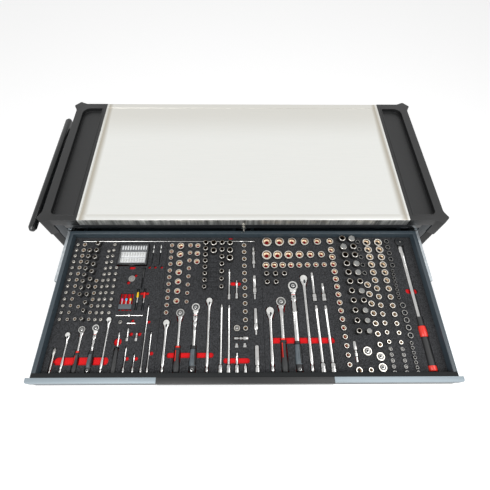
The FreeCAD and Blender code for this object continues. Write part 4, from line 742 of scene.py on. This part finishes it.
def grey_ratchet(name, head, length, grip, hold, shank):
    """A ratchet with a jointed head and a grey grip that ends in a black cap with a hole to hang it by."""
    tail = head - length
    fork = drawn(name, [
        (-head * 0.4, head * 0.90, 5.5), (-head * 1.1, head * 0.80, 5.5), (-head * 1.6, head * 0.62, 5),
        (-head * 1.95, head * 0.50, 4.5)], 16)
    gap = drawn(name + "_joint", [(-head * 1.9, head * 0.40, 4), (-head * 2.15, head * 0.40, 4)], 12)
    knuckle = drawn(name + "_knuckle", [
        (-head * 2.1, head * 0.50, 5.5), (-head * 2.25, head * 0.66, 6), (-head * 3.2, head * 0.66, 6),
        (-head * 3.5, head * 0.46, 5.5), (-head * 3.65, head * 0.40, 5), (-head * 3.8, head * 0.56, 6),
        (-head * 4.6, head * 0.54, 6), (-head * 4.8, shank * 1.15, shank), (-head * 5.6, shank * 1.15, shank),
        (-head * 5.7, shank * 1.3, shank * 1.1), (-head * 6.1, shank * 1.3, shank * 1.1),
        (-head * 6.2, shank * 1.15, shank), (tail + hold * 1.15, shank * 1.15, shank),
        (tail + hold, shank, shank * 0.9)], 16)
    pins = []
    for spot in (-1.6, -2.9):
        pin = drawn(name + "_pin", [(-head * 0.60, head * 0.13), (-head * 0.59, head * 0.16),
                                    (head * 0.59, head * 0.16), (head * 0.60, head * 0.13)], 10, "X")
        pin.data.transform(Matrix.Translation((0, head * spot / 1000, 0.002)))
        pins.append(finished(pin, dark_steel_and_bore_shade))
    screw = drawn(name + "_screw", [(4, head * 0.2), (6.4, head * 0.2), (6.6, head * 0.1)], 10, "Z")
    screw.data.transform(Matrix.Translation((0, -head * 0.0025, 0)))
    stop = drawn(name + "_stop", [(-head * 1.96, head * 0.40, 4.9), (-head * 2.02, head * 0.44, 5.3),
                                  (-head * 2.08, head * 0.40, 4.9)], 12)
    collar = drawn(name + "_collar", [(tail + hold + 6, shank * 1.1), (tail + hold + 5, grip * 0.70),
                                      (tail + hold - 4, grip * 0.80), (tail + hold - 5, grip * 0.6)], 16)
    sleeve = [(tail + hold - 4, 0.66), (tail + hold - 8, 0.88), (tail + hold * 0.7, 0.92), (tail + hold * 0.4, 1.0),
              (tail + hold * 0.28, 0.98), (tail + hold * 0.26, 0.90)]
    body = drawn(name + "_grip", [(spot, grip * part, grip * part * 0.8) for spot, part in sleeve], 16)
    flank = drawn(name + "_flank", [(tail + hold * 0.96, grip * 0.10, grip * 0.60), (tail + hold * 0.84, grip * 0.34, grip * 0.78),
                                    (tail + hold * 0.5, grip * 0.40, grip * 0.82),
                                    (tail + hold * 0.3, grip * 0.34, grip * 0.78)], 12)
    flank.data.transform(Matrix.Translation((0.0006 * grip, 0, 0.00004 * grip)))
    rim = drawn(name + "_rim", [(tail + hold * 0.72, grip * 0.15, grip * 0.72), (tail + hold * 0.66, grip * 0.36, grip * 0.86),
                                (tail + hold * 0.44, grip * 0.42, grip * 0.90), (tail + hold * 0.38, grip * 0.2, grip * 0.84)], 14)
    cap = drawn(name + "_cap", [(tail + hold * 0.28, grip * 0.86, grip * 0.66), (tail + hold * 0.26, grip * 0.96, grip * 0.76),
                                (tail + 4, grip * 0.84, grip * 0.70), (tail, grip * 0.5, grip * 0.45)], 16)
    hole = drawn(name + "_hole", [(0, grip * 0.40), (grip * 0.78, grip * 0.40), (grip * 0.80, grip * 0.30),
                                  (grip * 0.60, grip * 0.26)], 12, "Z")
    hole.data.transform(Matrix.Translation((0, (tail + grip * 0.75) / 1000, 0)))
    return head_plate(name, head * 1.08, 7, 0.72, dark_steel_and_bore_shade) + pins + [
        finished(fork, satin_chrome), finished(gap, dark_steel_and_bore_shade), finished(knuckle, chrome),
        finished(screw, dark_steel_and_bore_shade), finished(stop, red_plastic), finished(collar, black_grip),
        finished(body, grey_rubber), finished(flank, black_grip), finished(rim, grey_rubber),
        finished(cap, black_grip), finished(hole, chrome)]


MAKE_RATCHET = {"pear": pear_ratchet, "black": black_ratchet, "grey": grey_ratchet}
parts = []
for number, (style, x, y, length, head, grip, hold, shank) in enumerate(RATCHETS):
    made = join(f"ratchet_{number}", MAKE_RATCHET[style](f"ratchet_{number}", head, length, grip, hold, shank))
    parts.append(moved(made, x, y, TOOL_AXIS))
settle(join("ratchets_finished", parts), stands_for=["ratchets"])


# Bars, adaptors and joints: turned chrome shapes along Y

def bar_shape(name, length, rod, end):
    """An extension bar from its drive end at y = 0 to its square at y = length."""
    socket = end * 3
    return drawn(name, [
        (0, end * 0.86), (0.8, end * 0.97), (end * 1.1, end), (end * 1.15, end * 0.88), (end * 1.5, end * 0.88),
        (end * 1.55, end), (socket - 2, end * 0.98), (socket, end * 0.9), (socket + 3, rod * 1.05),
        (socket + 8, rod), (length - rod * 3.6, rod), (length - rod * 3.3, rod * 1.2), (length - rod * 2.2, rod * 1.2),
        (length - rod * 2.0, rod * 0.95), (length - 1, rod * 0.95), (length, rod * 0.75)], 12)


BARS = [
    # x, y of the back end, length, rod radius, drive end radius
    (-404, -450, 88, 3, 5.5), (-373, -474, 64, 3, 5.5), (-346, -304, 234, 3.5, 5.5), (-325, -400, 138, 3.5, 5.5),
    (-82, -304, 234, 4.5, 8), (-55, -306, 232, 4.5, 8), (-27, -474, 64, 4.5, 8), (258, -179, 115, 5.5, 9.5),
    (293, -223, 70, 5.5, 9.5), (260, -308, 230, 5.5, 9.5), (294, -309, 229, 5.5, 9.5), (-56, -163, 122, 4.5, 7),
    (-28, -209, 73, 4.5, 7), (1, -510, 28, 4, 7),
]
parts = []
for number, (x, y, length, rod, end) in enumerate(BARS):
    made = finished(bar_shape(f"bar_{number}", length, rod, end), chrome)
    parts.append(moved(made, x, y - length, BAR_BED + end))

# the four adaptors, as parts of their length and radius from the foot up
ADAPTOR_SHAPES = [
    [(0, 0.45), (0.16, 0.5), (0.18, 0.9), (0.30, 1.0), (0.36, 0.8), (0.62, 0.62), (0.66, 0.95), (0.74, 1.0),
     (0.80, 0.7), (0.90, 0.8), (1.0, 0.6)],
    [(0, 0.5), (0.18, 0.5), (0.2, 0.75), (0.26, 0.75), (0.28, 1.0), (0.44, 1.0), (0.47, 0.75), (0.8, 0.8),
     (0.82, 0.95), (0.88, 0.95), (0.9, 0.75), (1.0, 0.7)],
    [(0, 0.5), (0.14, 0.5), (0.16, 0.7), (0.22, 1.0), (0.40, 1.0), (0.44, 0.72), (0.48, 0.8), (0.98, 0.8), (1.0, 0.7)],
    [(0, 0.8), (0.02, 0.95), (0.18, 0.95), (0.2, 0.75), (0.25, 0.75), (0.27, 1.0), (0.97, 0.98), (1.0, 0.85)],
]
ADAPTOR_RADIUS = 9
ADAPTORS = [(38, -69, 90), (39, -192, 93), (40, -320, 94), (41, -451, 87)]
for number, ((x, y, length), section) in enumerate(zip(ADAPTORS, ADAPTOR_SHAPES)):
    made = drawn(f"adaptor_{number}", [(spot * length, ADAPTOR_RADIUS * part) for spot, part in section], 14)
    parts.append(moved(finished(made, chrome), x, y - length, BAR_BED + ADAPTOR_RADIUS))
long_bar = drawn("long_bar", [(-641, 2.0), (-640, 2.8), (-20, 2.8), (-18, 2.0), (-16, 2.0), (-14, 3), (20, 3), (22, 2.2),
                              (25, 2.2), (27, 3), (44, 3), (45, 2.2)], 12, "X")
long_bar.data.transform(Matrix.Translation(place(0, -40, RED_TOP + 3)))
parts.append(finished(long_bar, chrome))
settle(join("extension_bars_finished", parts), stands_for=["extension_bars"])

# loose small pieces: x, y of the foot, stations from the foot up, material
SMALL_TOOLS = [
    ("short_ratchet", -644, -541, [(0, 2.5), (1, 3.2), (10, 3.2), (11, 2.4), (13, 2.4), (14, 3.4), (34, 3.4),
                                   (50, 3.0), (60, 4.5), (70, 7.0), (78, 7.0), (84, 3.5)], worn_chrome),
    ("joint_level", 377, -506, [(0, 4), (6, 4.5), (16, 4.5), (18, 6.5), (30, 6.5), (32, 4.5), (36, 4.5), (40, 7.5),
                                (60, 7.5), (68, 6)], chrome),
    ("magnet_head_1", -355, -92, [(0, 1.6), (3, 3.6), (14, 3.6), (16, 2.2), (20, 2.2), (22, 3.6), (36, 3.4), (38, 2)],
     chrome),
    ("magnet_head_2", -327, -92, [(0, 1.6), (3, 3.6), (14, 3.6), (16, 2.2), (20, 2.2), (22, 3.6), (36, 3.4), (38, 2)],
     chrome),
    ("magnet_stem_1", -354, -145, [(0, 1.0), (1, 1.2), (54, 1.2)], dark_steel_and_bore_shade),
    ("magnet_stem_2", -326, -145, [(0, 1.0), (1, 1.2), (54, 1.2)], dark_steel_and_bore_shade),
    ("thin_driver_grip", -381, -200, [(0, 2.4), (2, 4.0), (14, 3.4), (18, 4.4), (34, 4.4), (40, 3.2), (42, 1.6)],
     black_grip),
    ("thin_driver_blade", -378, -241, [(0, 1.0), (1, 1.4), (44, 1.4)], dark_steel_and_bore_shade),
    ("yellow_driver_grip", -391, -277, [(0, 3.2), (1, 4.2), (18, 4.2), (20, 3.4)], yellow_plastic),
    ("yellow_driver_nut", -391, -297, [(0, 2.4), (1, 3.4), (8, 3.4), (9, 2.6), (20, 2.6)], chrome),
    ("yellow_driver_blade", -391, -325, [(0, 1.6), (2, 2.0), (28, 2.0)], dark_steel_and_bore_shade),
    ("yellow_driver_cap", -391, -257, [(0, 2.6), (8, 2.4), (12, 1.4)], dark_steel_and_bore_shade),
    ("red_driver_grip", -367, -279, [(0, 3.0), (1, 3.8), (20, 3.8), (22, 3.0)], red_plastic),
    ("red_driver_nut", -367, -298, [(0, 2.2), (1, 3.2), (8, 3.2), (9, 2.4), (20, 2.4)], chrome),
    ("red_driver_blade", -367, -325, [(0, 1.6), (2, 2.0), (28, 2.0)], dark_steel_and_bore_shade),
    ("red_driver_cap", -367, -257, [(0, 2.6), (8, 2.4), (14, 1.4)], dark_steel_and_bore_shade),
    ("end_piece_1", -406, -436, [(0, 4.2), (1, 5.2), (12, 5.2), (14, 3.2), (30, 3.0), (32, 4.0), (44, 4.0), (46, 2.6)],
     chrome),
    ("end_piece_2", -375, -436, [(0, 4.2), (1, 5.2), (12, 5.2), (14, 3.2), (20, 3.2), (21, 4.2), (29, 4.2), (30, 2.6)],
     chrome),
    ("driver_blade", -435, -460, [(0, 3.0), (40, 2.8), (44, 3.6), (52, 3.4), (57, 1.6)], chrome),
    ("driver_grip", -436, -541, [(0, 5), (2, 8), (14, 9.5), (40, 9.0), (60, 7.2), (70, 7.6), (80, 5.5), (84, 4)],
     black_grip),
]
for colour, x, material in (("pink", -445, pink_plastic), ("cyan", -430, blue_plastic), ("gold", -415, yellow_plastic)):
    SMALL_TOOLS += [
        (colour + "_bit_grip", x, -289, [(0, 3.0), (2, 4.2), (7, 4.2), (9, 3.0)], material),
        (colour + "_bit_cap", x, -281, [(0, 2.4), (12, 2.2), (18, 1.2)], dark_steel_and_bore_shade),
        (colour + "_bit_nut", x, -303, [(0, 2.6), (14, 2.6)], chrome),
        (colour + "_bit_tip", x, -326, [(0, 1.4), (2, 1.8), (22, 1.8)], dark_steel_and_bore_shade),
    ]
for bright, x, y in ((True, -28, -459), (False, 0, -458)):
    SMALL_TOOLS.append((f"step_adaptor_{abs(x)}", x, y, [(0, 4), (1, 6.5), (8, 6.5), (9, 4.6), (15, 4.6), (16, 3.6)],
                        chrome))
parts = []
for name, x, y, stations, material in SMALL_TOOLS:
    made = finished(drawn(name, stations, 10), material)
    parts.append(moved(made, x, y, TOOL_AXIS + 1))
for name, low, high, y, stations in (
        ("sliding_bar", -459, -361, -344, [(0, 1.6), (1, 2.4), (43, 2.4), (44, 5), (46, 7.2), (52, 7.2), (54, 5),
                                           (55, 2.4), (97, 2.4), (98, 1.6)]),
        ("joint_across_1", -414, -384, -372, [(0, 3), (1, 4.4), (9, 4.4), (10, 3), (13, 3), (15, 5), (19, 5), (20, 3.6),
                                              (29, 3.6), (30, 2.8)]),
        ("joint_across_2", -37, 12, -426, [(0, 3), (1, 5.4), (14, 5.4), (15, 3.4), (18, 3.4), (20, 6.4), (26, 6.4),
                                           (27, 4), (30, 4), (32, 7.4), (47, 7.4), (49, 6)])):
    made = finished(drawn(name, stations, 12, "X"), chrome)
    parts.append(moved(made, low, y, TOOL_AXIS + 1))
grey_holder = block("bit_holder", (-454, -407), (-321, -303), (948, 962))
bevel(grey_holder, 2, 3)
grey_holder.data.transform(Matrix.Translation(ORIGIN))
parts.append(finished(grey_holder, grey_rubber))
wheel = drawn("thumb_wheel", [(944, 12), (960, 13), (962, 12.4), (962, 8), (960.6, 7.4), (960.6, 5), (963, 4.6),
                              (963, 2)], 18, "Z")
wheel.data.transform(Matrix.Translation(place(-421, -204, 0)))
parts.append(finished(wheel, worn_chrome, 40))
settle(join("small_tools", parts))


# Torque wrench

reach = 540 - 16
wrench = [
    finished(drawn("torque_shaft", [(-60, 7), (-70, 12, 8), (-92, 11.5, 8), (-96, 9), (-112, 9.2), (-114, 8.4),
                                    (-352, 8.4), (-354, 9.5), (-384, 10)], 16), chrome),
    finished(drawn("torque_neck", [(-44, 11, 9), (-58, 11.5, 9), (-66, 9.5, 8), (-76, 8.5, 7.5)], 16), dark_steel_and_bore_shade),
    finished(drawn("torque_sleeve", [(-352, 9), (-353, 11), (-385, 11.5), (-386, 10)], 16), black_grip),
    finished(drawn("torque_collar", [(-385, 10), (-386, 13), (-400, 14.6), (-418, 14.6), (-423, 12.6), (-424, 10)], 18),
             red_plastic),
    finished(drawn("torque_grip", [(-423, 10), (-424, 12), (-440, 12.6), (-470, 12.2), (-500, 13), (-522, 13),
                                   (-524, 10)], 18), black_grip),
    finished(drawn("torque_cap", [(-518, 11), (-519, 14.4), (-532, 14.8), (-536, 13)], 18), red_plastic),
    finished(drawn("torque_button", [(-20, 5), (-19.9, 6.4), (-14, 6.4)], 12), dark_steel_and_bore_shade),
]
for part in wrench:
    part.data.transform(Matrix.Translation(place(624, 0, 954)))
head = [moved(part, 624, -47, 954) for part in head_plate("torque_head", 19, 11)]
for part, material in zip(head, (black_grip, dark_steel_and_bore_shade, smooth_black, worn_chrome)):
    paint(part, material)
drop(wrench.pop())
settle(join("torque_wrench_finished", wrench + head), stands_for=["torque_wrench"])


# Bit case: black tray, bits in two rows, clear lid

low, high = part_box("bit_case")
left, right = (low[0] - ORIGIN.x) * 1000, (high[0] - ORIGIN.x) * 1000
front, back = (low[1] - ORIGIN.y) * 1000, (high[1] - ORIGIN.y) * 1000
tray = block("case_tray", (left, right), (front + 3, back), (low[2] * 1000, high[2] * 1000 - 2))
bevel(tray, 4, 3)
edit(tray)
pick(tray, lambda middle, normal: normal.z > 0.99)
bpy.ops.mesh.inset(thickness=0.004)
bpy.ops.mesh.extrude_region_move(TRANSFORM_OT_translate={"value": (0, 0, -0.012)})
close()
catch = block("case_catch", (-442, -418), (front, front + 8), (952, high[2] * 1000 - 3))
bevel(catch, 1.5, 2)
lip = block("case_lip", (left, right), (front + 3, front + 9), (high[2] * 1000 - 5, high[2] * 1000))
bevel(lip, 2, 3)
case_parts = [finished(tray, smooth_black), finished(catch, smooth_black), finished(lip, smooth_black)]
for row, (row_y, rack, tip) in enumerate(((-72, black_grip, white_plastic), (-101, white_plastic, satin_chrome),
                                          (-126, white_plastic, satin_chrome))):
    for number in range(10):
        x = left + 12 + number * (right - left - 24) / 9
        bit = drawn(f"case_bit_{row}_{number}", [(row_y - 8, 2.2), (row_y - 4, 3.2), (row_y + 7, 3.2),
                                                 (row_y + 8, 2.4)], 6)
        bit.data.transform(Matrix.Translation((x / 1000, 0, high[2] - 0.009)))
        case_parts.append(finished(bit, tip, 20))
    holder = block(f"case_rack_{row}", (left + 6, right - 6), (row_y - 11, row_y + 12),
                   (low[2] * 1000 + 2, high[2] * 1000 - 9))
    bevel(holder, 1, 2)
    case_parts.append(finished(holder, rack))
for part in case_parts:
    part.data.transform(Matrix.Translation(ORIGIN))
settle(join("bit_case_finished", case_parts), stands_for=["bit_case"])
lid = block("case_lid", (left + 5, right - 5), (front + 8, back - 5), (high[2] * 1000 - 4, high[2] * 1000 - 0.5))
bevel(lid, 1.5, 3)
lid.data.transform(Matrix.Translation(ORIGIN))
settle(finished(lid, clear_lid))


# Foam inlay: a black sheet over a red one, with a pocket for every tool and finger holes down to the red

PLAY = 0.6
deep_pocket = (POCKET_FLOOR - 0.1, FOAM_TOP + 1)


def pocket_round(x, y, radius, depth=deep_pocket, sides=16):
    made = drawn("pocket", [(depth[0], radius), (depth[1], radius)], sides, "Z")
    return moved(made, x, y, 0)


def pocket_long(x, y, stations, depth=deep_pocket):
    """A pocket with straight walls whose width follows a tool along Y: (place along the tool, half width)."""
    middle, half = (depth[0] + depth[1]) / 2, (depth[1] - depth[0]) / 2
    made = drawn("pocket", [(spot, wide * math.sqrt(2), half * math.sqrt(2)) for spot, wide in stations], 4)
    return moved(made, x, y, middle)


def pocket_band(low, high, y, wide):
    """A finger hole with round ends, down to the red foam."""
    made = block("finger_hole", (low, high), (y - wide / 2, y + wide / 2), (RED_TOP - 1, FOAM_TOP + 1))
    edit(made)
    pick(made, lambda middle, normal: abs(normal.z) > 0.9)
    bpy.ops.mesh.select_all(action="DESELECT")
    mesh = bmesh.from_edit_mesh(made.data)
    bpy.ops.mesh.select_mode(type="EDGE")
    for edge in mesh.edges:
        edge.select_set(abs(edge.verts[0].co.z - edge.verts[1].co.z) > 0.001)
    bmesh.update_edit_mesh(made.data)
    bpy.ops.mesh.bevel(offset=wide * 0.00045, segments=5, affect="EDGES")
    close()
    made.data.transform(Matrix.Translation(ORIGIN))
    return made


socket_pockets = [pocket_round(x, y, radius + PLAY) for kind, x, y, radius in sockets]
tool_pockets = []
for style, x, y, length, head, grip, hold, shank in RATCHETS:
    tail = head - length
    if style == "pear":
        outline = [(head * 1.03, head * 0.4), (head * 0.8, head * 0.86), (head * 0.3, head + PLAY),
                   (-head * 0.5, head + PLAY), (-head * 1.8, head * 0.55), (-head * 3, shank + PLAY),
                   (tail + hold * 1.1, shank + PLAY), (tail + hold * 0.8, grip + PLAY), (tail - PLAY, grip + PLAY)]
    else:
        outline = [(head + PLAY, head * 0.5), (head * 0.75, head * 0.85), (head * 0.35, head + PLAY),
                   (-head * 0.35, head + PLAY), (-head * 0.8, head * 0.85), (-head * 2, head * 0.62),
                   (-head * (4.6 if style == "grey" else 2.4), head * 0.62 if style == "grey" else shank + PLAY),
                   (-head * 5, shank * (1.3 if style == "grey" else 1) + PLAY), (tail + hold + 8, shank + PLAY),
                   (tail + hold + 6, grip * 0.8 + PLAY), (tail + hold * 0.6, grip + PLAY), (tail - PLAY, grip + PLAY)]
    tool_pockets.append(pocket_long(x, y, outline))
bar_pocket = (BAR_BED - 0.1, FOAM_TOP + 1)
for x, y, length, rod, end in BARS:
    tool_pockets.append(pocket_long(x, y - length, [(-PLAY, end + 0.3), (end * 3 + 1, end + 0.3),
                                                    (end * 3 + 6, rod + 0.3), (length + PLAY, rod + 0.3)], bar_pocket))
for (x, y, length), section in zip(ADAPTORS, ADAPTOR_SHAPES):
    outline = [(spot * length, ADAPTOR_RADIUS * part + 0.3) for spot, part in section]
    tool_pockets.append(pocket_long(x, y - length, outline, bar_pocket))
tool_pockets.append(pocket_long(624, 0, [(-27.4, 3), (-29, 8), (-32, 12.6), (-36, 16.2), (-41, 18.7), (-47, 19.6),
                                         (-53, 18.7), (-58, 16.2), (-63, 13.2), (-70, 12.6), (-93, 12.1),
                                         (-96.5, 9.8), (-113, 9.8), (-116, 9), (-351, 9), (-352, 12), (-384.5, 12.1),
                                         (-386, 15.2), (-424, 15.2), (-425, 13.6), (-516, 13.6), (-517.5, 15.5),
                                         (-537.5, 15.5)], (938.9, FOAM_TOP + 1)))
centre_x, centre_y = (left + right) / 2, (front + back) / 2
tool_pockets.append(pocket_long(centre_x, centre_y, [(-(back - front) / 2 - 1, (right - left) / 2 + 1),
                                                     ((back - front) / 2 + 1, (right - left) / 2 + 1)]))
long_pocket = block("pocket", (-642, 46), (-44.5, -35.5), (RED_TOP, FOAM_TOP + 1))
long_pocket.data.transform(Matrix.Translation(ORIGIN))
tool_pockets.append(long_pocket)
for name, x, y, stations, material in SMALL_TOOLS:
    if any(part in name for part in ("_cap", "_nut", "_blade", "_tip", "_stem")) and name != "driver_blade":
        continue
    if "driver_grip" in name and name != "driver_grip" or name.endswith("bit_grip"):
        continue
    widest = max(wide for spot, wide in stations)
    tool_pockets.append(pocket_long(x, y, [(-PLAY, widest * 0.92), (stations[-1][0] + PLAY, widest * 0.92)]))
for x, low_y, high_y, half, floor in (
        (-391, -326, -244, 5, 951.5), (-367, -326, -242, 5, 951.5), (-380, -242, -157, 4.5, 951.5),
        (-430, -327, -262, 24, 949), (-354.5, -145.5, -93.5, 2, 951.5), (-326.5, -145.5, -93.5, 2, 951.5)):
    tool_pockets.append(pocket_long(x, low_y, [(0, half), (high_y - low_y, half)], (floor, FOAM_TOP + 1)))
for low_x, high_x, y, half in ((-460, -360, -344, 3.4), (-415, -383, -372, 6), (-38, 13, -426, 6.4)):
    across = block("pocket", (low_x, high_x), (y - half, y + half), (947, FOAM_TOP + 1))
    across.data.transform(Matrix.Translation(ORIGIN))
    tool_pockets.append(across)

FINGER_BANDS = [(-638, -456, -500, 26), (-265, -106, -482, 18), (-73, 16, -500, 18), (90, 312, -434, 21),
                (599, 644, -255, 20), (-52, -12, -224, 16), (-62, -42, -27, 12), (-439, -415, -158, 12),
                (-385, -350, -262, 12)]
FINGER_DOTS = [(-362, -156, 5.5), (-340, -156, 5.5), (-316, -156, 5.5), (-338, -368, 6), (-396, -364, 6), (-394, -411, 7), (-365, -411, 7), (-396, -493, 7), (-365, -493, 7),
               (-316, -476, 7), (-436, -437, 14), (-410, -191, 7), (-433, -219, 7)]
finger_holes = [pocket_band(*band) for band in FINGER_BANDS]
finger_holes += [pocket_round(x, y, radius, (RED_TOP - 1, FOAM_TOP + 1)) for x, y, radius in FINGER_DOTS]
# empty shallow pockets beside the deep sockets, and the parting lines between the foam sheets
seams = []
for x, y_low, y_high in ((67, -540, -25), (-300, -540, -25)):
    seam = block("seam", (x - 0.5, x + 0.5), (y_low - 2, y_high + 2), (FOAM_TOP - 4, FOAM_TOP + 1))
    seam.data.transform(Matrix.Translation(ORIGIN))
    seams.append(seam)


for number in range(7):
    slot_y = -118 - number * 20
    empty = block("seam", (-140, -104), (slot_y - 3, slot_y + 3), (FOAM_TOP - 2.5, FOAM_TOP + 1))
    empty.data.transform(Matrix.Translation(ORIGIN))
    seams.append(empty)


def foam_sheet(node, material, cutter_groups):
    """A sheet of foam the size of its CAD node, cut by groups of cutters that don't overlap within a group."""
    low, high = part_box(node)
    sheet = block(node + "_finished", *((a * 1000, b * 1000) for a, b in zip(low, high)))
    for cutters in cutter_groups:
        carve(sheet, copies_as_one("cutter", cutters))
    paint(sheet, material)
    return settle(sheet, stands_for=[node])


foam_sheet("foam_top", black_foam, [socket_pockets, tool_pockets, finger_holes, seams])
foam_sheet("foam_base", red_foam, [socket_pockets, tool_pockets])
for cutter in socket_pockets + tool_pockets + finger_holes + seams:
    drop(cutter)


# Camera at the photograph's place, lights and floor

def look_through():
    """The camera: 1.07 m over the worktop and 0.70 m in front of it, looking down at 61 degrees."""
    pitch, yaw, roll = math.radians(61.22), math.radians(0.97), math.radians(-0.80)
    ahead = Vector((math.sin(yaw) * math.cos(pitch), math.cos(yaw) * math.cos(pitch), -math.sin(pitch)))
    right = ahead.cross(Vector((0, 0, 1))).normalized()
    down = ahead.cross(right)
    right, down = math.cos(roll) * right + math.sin(roll) * down, math.cos(roll) * down - math.sin(roll) * right
    lens = bpy.data.cameras.new("camera")
    lens.lens = 24.55
    lens.sensor_width = 36
    lens.shift_x = 0.0102
    camera = bpy.data.objects.new("camera", lens)
    turn = Matrix((right, -down, -ahead)).transposed().to_4x4()
    camera.matrix_world = Matrix.Translation(place(-25.6, -698.9, 1050 + 1073.9)) @ turn
    bpy.context.scene.collection.objects.link(camera)
    bpy.context.scene.camera = camera


def softbox(name, spot, aim, size, power):
    """A large square lamp that faces a point."""
    lamp = bpy.data.lights.new(name, "AREA")
    lamp.size = size
    lamp.energy = power
    holder = bpy.data.objects.new(name, lamp)
    holder.location = spot
    holder.rotation_euler = (Vector(aim) - Vector(spot)).to_track_quat("-Z", "Y").to_euler()
    bpy.context.scene.collection.objects.link(holder)


def studio():
    """A white room: camera and mirror rays see white, and the rest lights the object softly."""
    world = bpy.data.worlds.new("studio")
    bpy.context.scene.world = world
    world.use_nodes = True
    tree = world.node_tree
    tree.nodes.clear()
    path = add(tree, "LightPath").outputs
    seen = add(tree, "Math", {0: path["Is Camera Ray"], 1: path["Is Glossy Ray"]}, operation="MAXIMUM").outputs[0]
    seen = add(tree, "Math", {0: seen, 1: path["Is Transmission Ray"]}, operation="MAXIMUM").outputs[0]
    level = add(tree, "MapRange", {"Value": seen, "To Min": 0.55, "To Max": 1.0}).outputs["Result"]
    sky = add(tree, "Background", {"Color": (1, 1, 1, 1), "Strength": level}).outputs[0]
    add(tree, "OutputWorld", {"Surface": sky})
    softbox("key_softbox", (-1.2, -1.6, 3.6), (0, -0.1, 0.9), 1.6, 60)
    softbox("fill_softbox", (1.8, -0.6, 3.2), (0, 0, 0.9), 1.6, 30)

    deselect()
    bpy.ops.mesh.primitive_plane_add(size=14, location=(0, 0, 0))
    floor = bpy.context.object
    floor.name = "floor"
    made, tree, where = new_material("pale_studio_floor")
    path = add(tree, "LightPath").outputs
    seen = add(tree, "Math", {0: path["Is Camera Ray"], 1: path["Is Glossy Ray"]}, operation="MAXIMUM").outputs[0]
    matt = add(tree, "BsdfDiffuse", {"Color": linear("#F2F2F2")}).outputs[0]
    glow = add(tree, "Emission", {"Color": (1, 1, 1, 1), "Strength": 0.35}).outputs[0]
    both = add(tree, "AddShader", {0: matt, 1: glow}).outputs[0]
    surface = add(tree, "MixShader", {0: seen, 1: matt, 2: both}).outputs[0]
    add(tree, "OutputMaterial", {"Surface": surface})
    paint(floor, made)
    bpy.context.scene.view_settings.view_transform = "Standard"


look_through()
studio()
